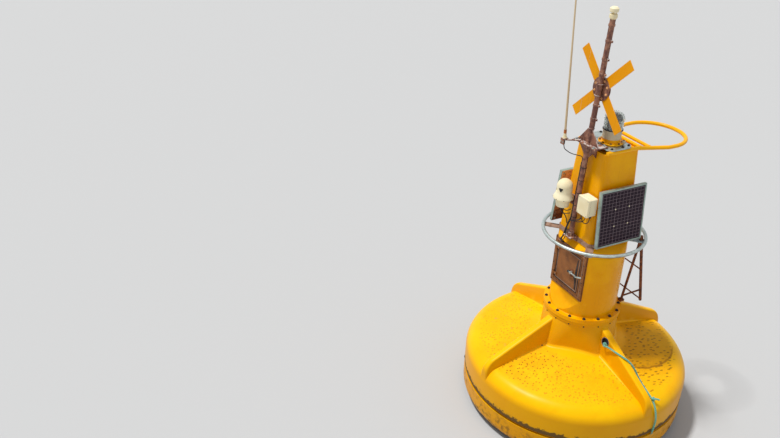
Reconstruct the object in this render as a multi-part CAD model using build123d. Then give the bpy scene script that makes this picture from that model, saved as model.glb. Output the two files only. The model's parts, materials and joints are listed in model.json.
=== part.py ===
from build123d import *
import os
from math import acos, atan2, cos, degrees, hypot, pi, radians, sin, sqrt, tan

# Solar-powered data buoy: a moulded disc float, a hollow tower with a hatch, and its deck gear.
# +Z up, the hatch faces -Y, millimetres, the flat bottom of the float at Z = 0.

# Float
HULL_RADIUS = 1150.0
SEAM_Z = 300.0
GROOVE_HEIGHT = 30.0
GROOVE_DEPTH = 28.0
CHINE_RADIUS = 150.0
WALL_TOP_Z = 510.0
SHOULDER_RADIUS = 165.0
DECK_INNER_RADIUS = 430.0
DECK_INNER_Z = 812.0
NECK_FLAT = 382.0
NECK_CORNER = 150.0
NECK_TOP_RADIUS = 376.0
NECK_LIP_RADIUS = 386.0
NECK_LIP_HEIGHT = 34.0
FLANGE_SEAT_Z = 1164.0

# Ribs: azimuth in degrees
RIB_AZIMUTHS = [-90.0, 0.0, 90.0, 180.0]
RIB_TOP_INNER_Z = 1122.0
RIB_TOP_OUTER_Z = 724.0
RIB_INNER_RADIUS = 330.0
RIB_END_INSET = 4.0
RIB_TOP_WIDTH_INNER = 84.0
RIB_TOP_WIDTH_OUTER = 62.0
RIB_FOOT_WIDTH_INNER = 190.0
RIB_FOOT_WIDTH_OUTER = 116.0
RIB_EDGE_ROUND = 20.0
RIB_NOSE = 170.0
RIB_OVER = 100.0
RIB_FLARE_INNER = 44.0
RIB_FLARE_OUTER = 6.0
RIB_FLARE_SINK = 1.0
RIB_FLARE_END = 1010.0
NECK_FOOT_ROUND = 40.0
HAWSE_RADIUS = 472.0
HAWSE_Z = 985.0
HAWSE_WIDTH = 90.0
HAWSE_HEIGHT = 96.0

# Mooring plate under the float
KEEL_PLATE_RADIUS = 240.0
KEEL_PLATE_THICK = 25.0
KEEL_BOLT_CIRCLE = 380.0
KEEL_BOLT_COUNT = 8
KEEL_BOLT_RADIUS = 11.0

# Tower
TOWER_BASE_RADIUS = 338.0
TOWER_FLANGE_RADIUS = 391.0
TOWER_FLANGE_THICK = 36.0
TOWER_WALL = 12.0
TOWER_SQUARE_Z = 1975.0
TOWER_TOP_Z = 2930.0
TOWER_HALF_LOW = 248.0
TOWER_HALF_TOP = 202.0
TOWER_CORNER = 42.0
TOWER_BLEND = 95.0
HATCH_FLAT_Y = 240.0
HATCH_FLAT_TOP_Z = 1925.0
SCOOP_LOW_Z = 1206.0
SCOOP_HIGH_Z = 1384.0

# Hatch
HATCH_WIDTH = 474.0
HATCH_HEIGHT = 516.0
HATCH_CENTRE_Z = 1645.0
HATCH_BORDER = 40.0
HATCH_FRAME_THICK = 18.0
HATCH_MOUTH_MARGIN = 24.0
DOOR_GAP = 5.5
DOOR_THICK = 14.0
DOOR_BACK_GAP = 6.0
DOOR_RIB = 9.0
HINGE_PIN_RADIUS = 5.0
HINGE_KNUCKLE_RADIUS = 9.5
HINGE_LENGTH = 66.0
HINGE_OFFSET_Z = 150.0
HINGE_RUNNING_GAP = 0.5
HANDLE_X = 70.0
HANDLE_DROP = -8.0
HANDLE_BOSS_RADIUS = 15.0
HANDLE_BOSS_HEIGHT = 26.0
HANDLE_STAND = 20.0
HANDLE_TAIL = 22.0
HANDLE_REACH = 70.0
HANDLE_CRANK = 15.0
HANDLE_LENGTH = 152.0
HANDLE_RISE = 30.0
HANDLE_BEND = 12.0
HANDLE_TUBE = 8.0

# Guard ring and its band
RING_RADIUS = 495.0
RING_TUBE = 17.0
RING_Z = 2016.0
BAND_HEIGHT = 46.0
BAND_THICK = 8.0
BAND_FIT = 0.5
ARM_WIDTH = 74.0
ARM_THICK = 10.0
SEAT_GAP = 0.3

# Solar panels: name and azimuth
PANELS = [("right", 0.0), ("left", 180.0)]
PANEL_SHIFT = 20.0
PANEL_WIDTH = 542.0
PANEL_HEIGHT = 572.0
PANEL_THICK = 30.0
PANEL_RIM = 16.0
PANEL_LAMINATE = 6.0
PANEL_TILT = 5.4
PANEL_CENTRE_Z = 2325.0
PANEL_FACE_OUT = 310.0
PANEL_SHEET = 4.0
RAIL_DEPTH = 14.0
RAIL_WIDTH = 40.0
RAIL_WEB_Y = 146.0

# Top gear
CAP_THICK = 12.0
LOOP_TUBE = 19.0
LOOP_OFFSET_X = 15.0
LOOP_HALF_FRONT = 200.0
LOOP_HALF_REAR = 303.0
LOOP_FRONT_Y = -196.0
LOOP_SPLAY_Y = 140.0
LOOP_WIDE_Y = 440.0
LOOP_REAR_Y = 812.0
LOOP_RAIL_YS = [190.0, 272.0]
LOOP_BEND = 130.0
LOOP_END_BEND = 292.0

LANTERN_X = 67.0
LANTERN_Y = -45.0
LANTERN_PLATE_HALF = 214.0
LANTERN_PLATE_FRONT_Y = -190.0
LANTERN_PLATE_REAR_Y = 92.0
LANTERN_PLATE_CORNER = 62.0
LANTERN_PLATE_THICK = 12.0
LANTERN_FLANGE_RADIUS = 102.0
LANTERN_FLANGE_THICK = 15.0
LANTERN_PEDESTAL_RADIUS = 80.0
LANTERN_PEDESTAL_HEIGHT = 55.0
LANTERN_BASE_RADIUS = 86.0
LANTERN_BASE_HEIGHT = 74.0
LANTERN_SEAL_HEIGHT = 10.0
LANTERN_LENS_RADIUS = 92.0
LANTERN_LENS_HEIGHT = 160.0
LANTERN_LENS_WALL = 5.0
LANTERN_CORE_RADIUS = 44.0
LANTERN_KNOB_X = 156.0
LANTERN_KNOB_Y = 27.0
LANTERN_KNOB_RADIUS = 18.0
LANTERN_KNOB_HEIGHT = 26.0

BRACKET_PLATE = 12.0

# Mast: a straight raked pole, given at two heights
MAST_X_LOW = 15.0
MAST_Y_LOW = -302.0
MAST_X_TOP = 27.0
MAST_Y_TOP = -218.0
MAST_FOOT_Z = 2042.0
MAST_LOW_Z = MAST_FOOT_Z + 2.0
MAST_TOP_Z = 4135.0
MAST_JOINT_Z = TOWER_TOP_Z + CAP_THICK + 2 * LOOP_TUBE + LANTERN_PLATE_THICK + BRACKET_PLATE / 2
MAST_TUBE = 25.0
MAST_BORE = 20.0
MAST_FIT = 0.2
MAST_SOCKET = 34.0
MAST_WEB = 70.0

# Mast bracket on the tower's front edge
BRACKET_HALF = 150.0
BRACKET_REACH = 52.0
BRACKET_REAR_Y = -160.0
BRACKET_GUSSET = 140.0
BRACKET_ABOVE = 150.0
BRACKET_BELOW = 130.0
BRACKET_WEB_X = 64.0

# Topmark
TOPMARK_Z = 3512.0
TOPMARK_ARM = 432.0
TOPMARK_WIDTH = 96.0
TOPMARK_THICK = 8.0
TOPMARK_HUB_RADIUS = 108.0
TOPMARK_HUB_THICK = 6.0

# Mast clamps, by height, and the weather sensor on the mast's top
CLAMP_HEIGHTS = [3240.0, 3370.0, 3655.0, 3790.0, 3950.0]
CLAMP_THICK = 4.0
CLAMP_WIDTH = 22.0
SENSOR_STEM = 16.0
SENSOR_RADIUS = 39.0
SENSOR_DRUM = 44.0
SENSOR_GAP = 16.0

# Whip antenna: foot point on its arm, and how far the whip leans over its length
WHIP_FOOT = (-150.0, -405.0, 3012.0)
WHIP_LENGTH = 2400.0
WHIP_LEAN_X = -95.0
WHIP_LEAN_Y = -95.0
WHIP_RADIUS = 10.5
WHIP_TIP_RADIUS = 4.0
WHIP_MOUNT_RADIUS = 17.0
WHIP_MOUNT_HEIGHT = 46.0
WHIP_FERRULE_HEIGHT = 34.0
WHIP_ARM_RADIUS = 9.0
WHIP_BRACKET = 58.0

# Camera dome on the left of the mast
CAMERA_X = -106.0
CAMERA_Y = -356.0
CAMERA_LOW_Z = 2322.0
CAMERA_BASE_HEIGHT = 84.0
CAMERA_BASE_RADIUS = 62.0
CAMERA_NECK_RADIUS = 74.0
CAMERA_SKIRT_RADIUS = 98.0
CAMERA_SKIRT_HEIGHT = 62.0
CAMERA_DOME_RADIUS = 76.0
CAMERA_TOP_Z = 2602.0
CAMERA_WINDOW = 17.0
CAMERA_WINDOW_AZIMUTH = -112.0
CAMERA_ARM = 40.0

# Junction box on the right of the mast
BOX_X = 172.0
BOX_WIDTH = 148.0
BOX_HEIGHT = 178.0
BOX_DEPTH = 104.0
BOX_LID = 26.0
BOX_CENTRE_Z = 2440.0
BOX_FRONT_Y = -352.0
BOX_CORNER = 12.0
GLAND_RADIUS = 12.0
GLAND_LENGTH = 22.0
GLAND_XS = [118.0, 172.0, 222.0]

# Rear frame: a raked ladder frame with an inner leg to the tower flange at each side
REAR_TOP = (320.0, 320.0, 2046.0)
REAR_OUTER_FOOT = (265.0, 542.0, 1205.0)
REAR_INNER_FOOT = (184.0, 356.0, 1214.0)
REAR_LEG = 15.0
REAR_BAR = 7.0
REAR_BAR_SHARES = [0.51, 0.985]
REAR_STRUT_SHARES = (0.94, 0.83)
REAR_FOOT = 46.0

# Cords
CABLE_RADIUS = 5.0
ROPE_RADIUS = 9.0
CAMERA_CABLE = [(-118, -356, 2322), (-118, -356, 2262), (-66, -328, 2222), (-40.3, -321.2, 2150)]
BUNDLE_CABLE = [(-12.1, -279.3, 2800), (-15.2, -303.5, 2215), (-38, -318, 2120), (-58, -328, 2000),
                (-92, -332, 1955), (-74, -308, 1914), (-74, -262, 1914)]
BOX_CABLE = [(118, -300, 2329), (118, -300, 2262), (60, -330, 2232), (0, -334, 2205), (-17.8, -319.4, 2168)]
ANTENNA_LEAD = [(-150, -405, 2948), (-142, -400, 2905), (-88, -362, 2872), (-11.8, -276.9, 2858),
                (-12.1, -279.3, 2800)]
CABLE_GLAND_RADIUS = 10.0
ROPE_KNOT_RADIUS = 19.0
ROPE_KNOT_LENGTH = 34.0
ROPE = [(484, -66, 967), (488, -94, 974), (545, -72, 985), (620, -53, 975), (700, -20, 961), (762, 24, 931),
        (802, 62, 870), (852, 94, 777), (908, 112, 717), (1003, 106, 689), (1072, 97, 671), (1133, 90, 624),
        (1167, 96, 520), (1162, 108, 420), (1157, 99, 330)]


def at_azimuth(shape, azimuth):
    """Turn a shape made facing +X so that it faces the azimuth."""
    return Rot(0, 0, azimuth) * shape


def cylinder(radius, low, high, x=0.0, y=0.0):
    """An upright cylinder between two heights."""
    return Pos(x, y, low) * Cylinder(radius, high - low, align=(Align.CENTER, Align.CENTER, Align.MIN))


def block(x0, x1, y0, y1, z0, z1):
    """A box between two corners."""
    return Pos((x0 + x1) / 2, (y0 + y1) / 2, (z0 + z1) / 2) * Box(x1 - x0, y1 - y0, z1 - z0)


def between(radius, start, end):
    """A round bar from one point to another."""
    a = Vector(*start)
    b = Vector(*end)
    plane = Plane(origin=a, z_dir=(b - a))
    return plane * Cylinder(radius, (b - a).length, align=(Align.CENTER, Align.CENTER, Align.MIN))


def tube_along(points, radii, tube):
    """A round bar swept along a polyline with rounded corners."""
    path = FilletPolyline(*points, radius=radii) if radii else Polyline(*points)
    start = path.position_at(0)
    section = Plane(origin=start, z_dir=path.tangent_at(0)) * Circle(tube)
    return sweep(section, path=path)


def mast_at(z):
    """The mast's axis at a height."""
    t = (z - MAST_LOW_Z) / (MAST_TOP_Z - MAST_LOW_Z)
    return (MAST_X_LOW + t * (MAST_X_TOP - MAST_X_LOW), MAST_Y_LOW + t * (MAST_Y_TOP - MAST_Y_LOW), z)


def face_out(z):
    """How far a flat face of the upper tower stands from the axis at a height."""
    t = (z - TOWER_SQUARE_Z) / (TOWER_TOP_Z - TOWER_SQUARE_Z)
    return TOWER_HALF_LOW + t * (TOWER_HALF_TOP - TOWER_HALF_LOW)


def deck_edge():
    """Where the rounded shoulder meets the sloping deck: the tangent point in radius and height."""
    across = DECK_INNER_RADIUS - (HULL_RADIUS - SHOULDER_RADIUS)
    rise = DECK_INNER_Z - WALL_TOP_Z
    turn = atan2(rise, across) - acos(SHOULDER_RADIUS / hypot(across, rise))
    return (HULL_RADIUS - SHOULDER_RADIUS + SHOULDER_RADIUS * cos(turn), WALL_TOP_Z + SHOULDER_RADIUS * sin(turn))


def deck_z(radius):
    """Height of the sloping deck's cone at a radius."""
    edge_radius, edge_z = deck_edge()
    slope = (DECK_INNER_Z - edge_z) / (edge_radius - DECK_INNER_RADIUS)
    return DECK_INNER_Z + slope * (DECK_INNER_RADIUS - radius)


def hull_upper():
    """Upper half of the float: wall, shoulder, sloping deck, squarish neck and four ribs."""
    seat_z = SEAM_Z + GROOVE_HEIGHT / 2
    with BuildPart() as disc:
        with BuildSketch(Plane.XZ):
            with BuildLine():
                wall = Line((HULL_RADIUS, seat_z), (HULL_RADIUS, WALL_TOP_Z))
                shoulder = TangentArc(wall @ 1, deck_edge(), tangent=(0, 1))
                deck = Line(shoulder @ 1, (0, deck_z(0)))
                Line(deck @ 1, (0, seat_z))
                Line((0, seat_z), wall @ 0)
            make_face()
        revolve(axis=Axis.Z)
    neck_low = Plane.XY.offset(DECK_INNER_Z - 60) * Rot(0, 0, 45) * RectangleRounded(
        2 * NECK_FLAT, 2 * NECK_FLAT, NECK_CORNER)
    neck_high = Plane.XY.offset(FLANGE_SEAT_Z - NECK_LIP_HEIGHT) * Rot(0, 0, 45) * RectangleRounded(
        2 * NECK_TOP_RADIUS, 2 * NECK_TOP_RADIUS, NECK_TOP_RADIUS - 2)
    neck = loft([neck_low, neck_high])
    lip = cylinder(NECK_LIP_RADIUS, FLANGE_SEAT_Z - NECK_LIP_HEIGHT, FLANGE_SEAT_Z)
    body = disc.part + neck
    feet = [e for e in body.edges() if NECK_FLAT - 40 < hypot(e.center().X, e.center().Y) < HULL_RADIUS / 2
            and DECK_INNER_Z - 40 < e.center().Z < DECK_INNER_Z + 60 and e.length > 50]
    body = fillet(ShapeList(feet), NECK_FOOT_ROUND) + lip
    for azimuth in RIB_AZIMUTHS:
        body = body + at_azimuth(rib(), azimuth) + at_azimuth(rib_flare(), azimuth)
    hole = Pos(HAWSE_RADIUS, 0, HAWSE_Z) * Rot(90, 0, 0) * extrude(
        SlotOverall(HAWSE_HEIGHT, HAWSE_WIDTH, rotation=90), amount=HULL_RADIUS / 2, both=True)
    clear = block(NECK_TOP_RADIUS, HULL_RADIUS, -RIB_FOOT_WIDTH_INNER, RIB_FOOT_WIDTH_INNER, DECK_INNER_Z, TOWER_TOP_Z)
    return body - (hole & clear)


def rib_half_width(x, z):
    """Half the rib's width at a distance and height: its two drafted ends, joined straight."""
    end_x = HULL_RADIUS - RIB_END_INSET
    halves = []
    for top, foot, top_z in ((RIB_TOP_WIDTH_INNER, RIB_FOOT_WIDTH_INNER, RIB_TOP_INNER_Z),
                             (RIB_TOP_WIDTH_OUTER, RIB_FOOT_WIDTH_OUTER, RIB_TOP_OUTER_Z)):
        draft = (foot - top) / 2 / (top_z - WALL_TOP_Z)
        halves.append(top / 2 + draft * (top_z - z))
    t = (x - RIB_INNER_RADIUS) / (end_x - RIB_INNER_RADIUS)
    return halves[0] + t * (halves[1] - halves[0])


def rib_plane(x):
    """The plane square to the rib's run."""
    return Plane(origin=(x, 0, 0), x_dir=(0, 1, 0), z_dir=(1, 0, 0))


def rib_blank(x, top_z):
    """The rib's drafted section, drawn past its top line."""
    high = top_z + RIB_OVER
    low_half = rib_half_width(x, WALL_TOP_Z)
    high_half = rib_half_width(x, high)
    return rib_plane(x) * make_face(Polyline(
        (-low_half, WALL_TOP_Z), (low_half, WALL_TOP_Z), (high_half, high), (-high_half, high), close=True))


def rib_foot(x, flare):
    """Section of the hollow flare along both feet of a rib, sunk a little into rib and deck."""
    deck = deck_z(x) - 2 * RIB_FLARE_SINK
    spring_z = deck + flare
    spring = rib_half_width(x, spring_z) - RIB_FLARE_SINK
    foot = spring + flare
    lean = 1 - sqrt(0.5)
    mid_y = spring + lean * flare
    mid_z = deck + lean * flare
    with BuildSketch(rib_plane(x)) as section:
        with BuildLine():
            Line((-foot, WALL_TOP_Z), (foot, WALL_TOP_Z))
            Line((foot, WALL_TOP_Z), (foot, deck))
            ThreePointArc((foot, deck), (mid_y, mid_z), (spring, spring_z))
            Line((spring, spring_z), (-spring, spring_z))
            ThreePointArc((-spring, spring_z), (-mid_y, mid_z), (-foot, deck))
            Line((-foot, deck), (-foot, WALL_TOP_Z))
        make_face()
    return section.sketch


def rib():
    """One radial rib, facing +X: drafted sides, a rounded nose over the shoulder, and rounded top edges."""
    end_x = HULL_RADIUS - RIB_END_INSET
    blank = loft([rib_blank(RIB_INNER_RADIUS, RIB_TOP_INNER_Z), rib_blank(end_x, RIB_TOP_OUTER_Z)], ruled=True)
    side = make_face(Polyline(
        (RIB_INNER_RADIUS, WALL_TOP_Z), (end_x, WALL_TOP_Z), (end_x, RIB_TOP_OUTER_Z),
        (RIB_INNER_RADIUS, RIB_TOP_INNER_Z), close=True))
    corner = [v for v in side.vertices() if abs(v.X - end_x) < 1 and abs(v.Y - RIB_TOP_OUTER_Z) < 1]
    side = fillet(ShapeList(corner), RIB_NOSE)
    bar = blank & extrude(Plane.XZ * side, amount=RIB_FOOT_WIDTH_INNER, both=True)
    edges = [e for e in bar.edges() if e.center().X > RIB_INNER_RADIUS + 1 and abs(e.center().Y) > 1
             and e.center().Z > WALL_TOP_Z + 1]
    return fillet(ShapeList(edges), RIB_EDGE_ROUND)


def rib_flare():
    """The flare along one rib's feet, which fades towards the deck's edge."""
    return loft([rib_foot(RIB_INNER_RADIUS, RIB_FLARE_INNER), rib_foot(RIB_FLARE_END, RIB_FLARE_OUTER)], ruled=True)


def hull_lower():
    """Lower half of the float with its flat bottom, and the recess for the mooring plate."""
    low = SEAM_Z - GROOVE_HEIGHT / 2
    high = SEAM_Z + GROOVE_HEIGHT / 2
    with BuildPart() as disc:
        with BuildSketch(Plane.XZ):
            with BuildLine():
                floor = Line((0, 0), (HULL_RADIUS - CHINE_RADIUS, 0))
                chine = TangentArc(floor @ 1, (HULL_RADIUS, CHINE_RADIUS), tangent=(1, 0))
                Line(chine @ 1, (HULL_RADIUS, low))
                Line((HULL_RADIUS, low), (HULL_RADIUS - GROOVE_DEPTH, low))
                Line((HULL_RADIUS - GROOVE_DEPTH, low), (HULL_RADIUS - GROOVE_DEPTH, high))
                Line((HULL_RADIUS - GROOVE_DEPTH, high), (0, high))
                Line((0, high), (0, 0))
            make_face()
        revolve(axis=Axis.Z)
    return disc.part - cylinder(KEEL_PLATE_RADIUS + SEAT_GAP, -1, KEEL_PLATE_THICK)


def keel_plate():
    """Round steel mooring plate, flush with the bottom, with a ring of threaded holes."""
    plate = cylinder(KEEL_PLATE_RADIUS, 0, KEEL_PLATE_THICK)
    for i in range(KEEL_BOLT_COUNT):
        a = 2 * pi * i / KEEL_BOLT_COUNT
        x = KEEL_BOLT_CIRCLE / 2 * cos(a)
        y = KEEL_BOLT_CIRCLE / 2 * sin(a)
        plate = plate - cylinder(KEEL_BOLT_RADIUS, -1, KEEL_PLATE_THICK + 1, x, y)
    return plate


def square_at(z, half, corner):
    """A rounded square section of the tower."""
    return Plane.XY.offset(z) * RectangleRounded(2 * half, 2 * half, corner)


def tower_form(inset):
    """The tower's outer form, or the cavity when inset by the wall."""
    low_z = FLANGE_SEAT_Z + inset
    round_top = TOWER_SQUARE_Z - TOWER_BLEND
    drum = cylinder(TOWER_BASE_RADIUS - inset, low_z, round_top)
    round_half = TOWER_BASE_RADIUS - inset
    blend = loft([
        square_at(round_top, round_half, round_half - 1),
        square_at(TOWER_SQUARE_Z, TOWER_HALF_LOW - inset, TOWER_CORNER - inset),
    ])
    shaft = loft([
        square_at(TOWER_SQUARE_Z, TOWER_HALF_LOW - inset, TOWER_CORNER - inset),
        square_at(TOWER_TOP_Z - inset, TOWER_HALF_TOP - inset, TOWER_CORNER - inset),
    ])
    form = drum + blend + shaft
    flat_y = -(HATCH_FLAT_Y - inset)
    far = -2 * TOWER_BASE_RADIUS
    slope = (SCOOP_HIGH_Z - SCOOP_LOW_Z) / (TOWER_BASE_RADIUS - HATCH_FLAT_Y)
    sunk = inset * sqrt(1 + slope * slope)
    cut = Plane.YZ * make_face(Polyline(
        (flat_y, SCOOP_HIGH_Z - sunk + slope * inset),
        (flat_y, HATCH_FLAT_TOP_Z),
        (far, HATCH_FLAT_TOP_Z),
        (far, SCOOP_LOW_Z - sunk),
        (-TOWER_BASE_RADIUS, SCOOP_LOW_Z - sunk),
        close=True))
    return form - extrude(cut, amount=2 * TOWER_BASE_RADIUS, both=True)


def tower_body():
    """Hollow tower with its bolting flange, the hatch flat with a scooped ledge, and the hatch mouth."""
    body = tower_form(0.0) + cylinder(TOWER_FLANGE_RADIUS, FLANGE_SEAT_Z, FLANGE_SEAT_Z + TOWER_FLANGE_THICK)
    body = body - tower_form(TOWER_WALL)
    half_w = HATCH_WIDTH / 2 - HATCH_BORDER - HATCH_MOUTH_MARGIN
    half_h = HATCH_HEIGHT / 2 - HATCH_BORDER - HATCH_MOUTH_MARGIN
    mouth = block(-half_w, half_w, -HATCH_FLAT_Y - 50, -HATCH_FLAT_Y + TOWER_WALL + 50,
                  HATCH_CENTRE_Z - half_h, HATCH_CENTRE_Z + half_h)
    return body - mouth


def hatch_frame():
    """Rectangular hatch frame with a raised inner bead, and the fixed hinge leaves."""
    back = -HATCH_FLAT_Y
    front = back - HATCH_FRAME_THICK
    w = HATCH_WIDTH / 2
    h = HATCH_HEIGHT / 2
    z = HATCH_CENTRE_Z
    frame = block(-w, w, front, back, z - h, z + h)
    inner_w = w - HATCH_BORDER
    inner_h = h - HATCH_BORDER
    frame = frame - block(-inner_w, inner_w, front - 1, back + 1, z - inner_h, z + inner_h)
    bead = block(-inner_w - DOOR_RIB, inner_w + DOOR_RIB, front - DOOR_RIB / 2, front, z - inner_h - DOOR_RIB,
                 z + inner_h + DOOR_RIB)
    bead = bead - block(-inner_w, inner_w, front - DOOR_RIB, front + 1, z - inner_h, z + inner_h)
    relief = Compound(children=[hinge_relief(side) for side in (-1, 1)])
    frame = (frame + bead) - relief
    for side in (-1, 1):
        frame = frame + hinge_leaf(side, fixed=True)
    return frame


def hinge_axis():
    """The hinge line's X and Y."""
    x = -(HATCH_WIDTH / 2 - HATCH_BORDER) + DOOR_GAP / 2
    y = -HATCH_FLAT_Y - HATCH_FRAME_THICK - HINGE_KNUCKLE_RADIUS - 2
    return x, y


def hinge_relief(side):
    """Room in the frame's bead for the turning knuckle."""
    x, y = hinge_axis()
    zc = HATCH_CENTRE_Z + side * HINGE_OFFSET_Z
    return block(x - HINGE_KNUCKLE_RADIUS - 6, x + 60, y - 20, -HATCH_FLAT_Y - HATCH_FRAME_THICK,
                 zc - HINGE_LENGTH / 2 - 6, zc + HINGE_LENGTH / 2 + 6)


def hinge_leaf(side, fixed):
    """One hinge's knuckle with its leaf: two outer thirds fixed, the middle third on the door."""
    x, y = hinge_axis()
    zc = HATCH_CENTRE_Z + side * HINGE_OFFSET_Z
    third = HINGE_LENGTH / 3
    spans = [(-1.5, -0.5), (0.5, 1.5)] if fixed else [(-0.5, 0.5)]
    leaf = None
    for a, b in spans:
        low = zc + a * third + (0 if fixed else HINGE_RUNNING_GAP * 2)
        high = zc + b * third - (0 if fixed else HINGE_RUNNING_GAP * 2)
        knuckle = cylinder(HINGE_KNUCKLE_RADIUS, low, high, x, y)
        if fixed:
            plate = block(x - 30, x, -HATCH_FLAT_Y - HATCH_FRAME_THICK - 4, -HATCH_FLAT_Y - HATCH_FRAME_THICK,
                          low, high)
            web = block(x - HINGE_KNUCKLE_RADIUS, x, y, -HATCH_FLAT_Y - HATCH_FRAME_THICK, low, high)
            piece = knuckle + plate + web - cylinder(HINGE_PIN_RADIUS, low - 1, high + 1, x, y)
        else:
            door_face = -HATCH_FLAT_Y - DOOR_BACK_GAP - DOOR_THICK
            plate = block(x, x + 46, y - 4, y + 1, low, high)
            foot = block(x + 26, x + 46, y, door_face, low, high)
            piece = knuckle + plate + foot
            piece = piece - cylinder(HINGE_PIN_RADIUS + HINGE_RUNNING_GAP / 10, low - 1, high + 1, x, y)
        leaf = piece if leaf is None else leaf + piece
    return leaf


def hinge_pins():
    """The two hinge pins, held in the fixed knuckles."""
    x, y = hinge_axis()
    pins = []
    for side in (-1, 1):
        zc = HATCH_CENTRE_Z + side * HINGE_OFFSET_Z
        pins.append(cylinder(HINGE_PIN_RADIUS, zc - HINGE_LENGTH / 2, zc + HINGE_LENGTH / 2, x, y))
    return Compound(children=pins)


def hatch_door():
    """The door plate with a raised border, and its hinge leaves."""
    w = HATCH_WIDTH / 2 - HATCH_BORDER - DOOR_GAP
    h = HATCH_HEIGHT / 2 - HATCH_BORDER - DOOR_GAP
    z = HATCH_CENTRE_Z
    back = -HATCH_FLAT_Y - DOOR_BACK_GAP
    front = back - DOOR_THICK
    door = block(-w, w, front, back, z - h, z + h)
    rim = block(-w, w, front - DOOR_RIB / 2, front, z - h, z + h)
    rim = rim - block(-w + DOOR_RIB, w - DOOR_RIB, front - DOOR_RIB, front + 1, z - h + DOOR_RIB, z + h - DOOR_RIB)
    door = door + rim
    x, y = hinge_axis()
    for side in (-1, 1):
        zc = z + side * HINGE_OFFSET_Z
        door = door - cylinder(HINGE_KNUCKLE_RADIUS + 3, zc - HINGE_LENGTH / 2 - 6, zc + HINGE_LENGTH / 2 + 6, x, y)
        door = door + hinge_leaf(side, fixed=False)
    return door


def door_handle():
    """Lever handle: a boss on the door and a cranked bar that reaches over the frame."""
    face = -HATCH_FLAT_Y - DOOR_BACK_GAP - DOOR_THICK
    z = HATCH_CENTRE_Z + HANDLE_DROP
    boss = Pos(HANDLE_X, face, z) * Rot(90, 0, 0) * Cylinder(
        HANDLE_BOSS_RADIUS, HANDLE_BOSS_HEIGHT, align=(Align.CENTER, Align.CENTER, Align.MIN))
    near = face - HANDLE_STAND
    over = near - HANDLE_CRANK
    bar = tube_along([
        (HANDLE_X - HANDLE_TAIL, near, z),
        (HANDLE_X + HANDLE_REACH, near, z),
        (HANDLE_X + HANDLE_REACH + 2 * HANDLE_CRANK, over, z + HANDLE_CRANK / 2),
        (HANDLE_X + HANDLE_LENGTH, over, z + HANDLE_RISE)], [HANDLE_BEND, HANDLE_BEND], HANDLE_TUBE)
    return boss + bar


def ring_guard():
    """Galvanised tube ring round the tower."""
    return Pos(0, 0, RING_Z) * Torus(RING_RADIUS, RING_TUBE)


def ring_band():
    """Flat-bar band round the tower with an arm at each corner under the ring."""
    low = RING_Z - RING_TUBE - SEAT_GAP - ARM_THICK
    inner = face_out(low) + BAND_FIT
    outer = inner + BAND_THICK
    band = extrude(square_at(low, outer, TOWER_CORNER + BAND_THICK), amount=BAND_HEIGHT)
    band = band - extrude(square_at(low - 1, inner, TOWER_CORNER), amount=BAND_HEIGHT + 2)
    corner = sqrt(2) * (inner - TOWER_CORNER) + TOWER_CORNER
    arm = block(corner - 30, RING_RADIUS + 6, -ARM_WIDTH / 2, ARM_WIDTH / 2, low, low + ARM_THICK)
    hollow = extrude(square_at(low - 1, inner, TOWER_CORNER), amount=BAND_HEIGHT + 2)
    for azimuth in (-135, -45, 45, 135):
        band = band + (at_azimuth(arm, azimuth) - hollow)
    for side in (-1, 1):
        band = band - rear_legs(side, SEAT_GAP)[0]
    return band


def panel_place(azimuth, out, up):
    """Place something made on a panel's face: x across, y up, z outwards."""
    lean = Rot(0, 0, azimuth) * Pos(PANEL_FACE_OUT, PANEL_SHIFT, PANEL_CENTRE_Z) * Rot(0, -PANEL_TILT, 0)
    return lean * Pos(out, 0, up)


def panel_frame(azimuth):
    """Aluminium frame of one solar panel."""
    outer = Box(PANEL_THICK, PANEL_WIDTH, PANEL_HEIGHT)
    inner = Box(PANEL_THICK + 2, PANEL_WIDTH - 2 * PANEL_RIM, PANEL_HEIGHT - 2 * PANEL_RIM)
    return panel_place(azimuth, -PANEL_THICK / 2, 0) * (outer - inner)


def panel_laminate(azimuth):
    """Glass laminate set in one panel's frame."""
    sheet = Box(PANEL_LAMINATE, PANEL_WIDTH - 2 * PANEL_RIM, PANEL_HEIGHT - 2 * PANEL_RIM)
    return panel_place(azimuth, -PANEL_LAMINATE / 2 - 3, 0) * sheet


def panel_rails(azimuth):
    """Backing sheet of one panel, with two rails and their brackets that hold it off the tower."""
    back = panel_place(azimuth, -PANEL_THICK - PANEL_SHEET / 2, 0) * Box(
        PANEL_SHEET, PANEL_WIDTH - 2 * PANEL_SHEET, PANEL_HEIGHT - 2 * PANEL_SHEET)
    for up in (-PANEL_HEIGHT / 3, PANEL_HEIGHT / 3):
        z = PANEL_CENTRE_Z + up
        out_face = PANEL_FACE_OUT - up * sin(radians(PANEL_TILT)) - PANEL_THICK - PANEL_SHEET
        rail_out = -PANEL_THICK - PANEL_SHEET - RAIL_DEPTH / 2
        rail = panel_place(azimuth, rail_out, up) * Box(RAIL_DEPTH, PANEL_WIDTH - 2 * RAIL_DEPTH, RAIL_WIDTH)
        back = back + rail
        wall_out = face_out(z - RAIL_WIDTH / 2)
        for side in (-1, 1):
            web = block(wall_out - 2, out_face + 2, side * RAIL_WEB_Y - 4, side * RAIL_WEB_Y + 4,
                        z - RAIL_WIDTH / 2, z + RAIL_WIDTH / 2)
            back = back + Rot(0, 0, azimuth) * web
    return back - tower_form(0.0) - panel_frame(azimuth)


def top_cap():
    """Flat lid on the tower's top."""
    return extrude(square_at(TOWER_TOP_Z, TOWER_HALF_TOP + 6, TOWER_CORNER), amount=CAP_THICK)


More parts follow.
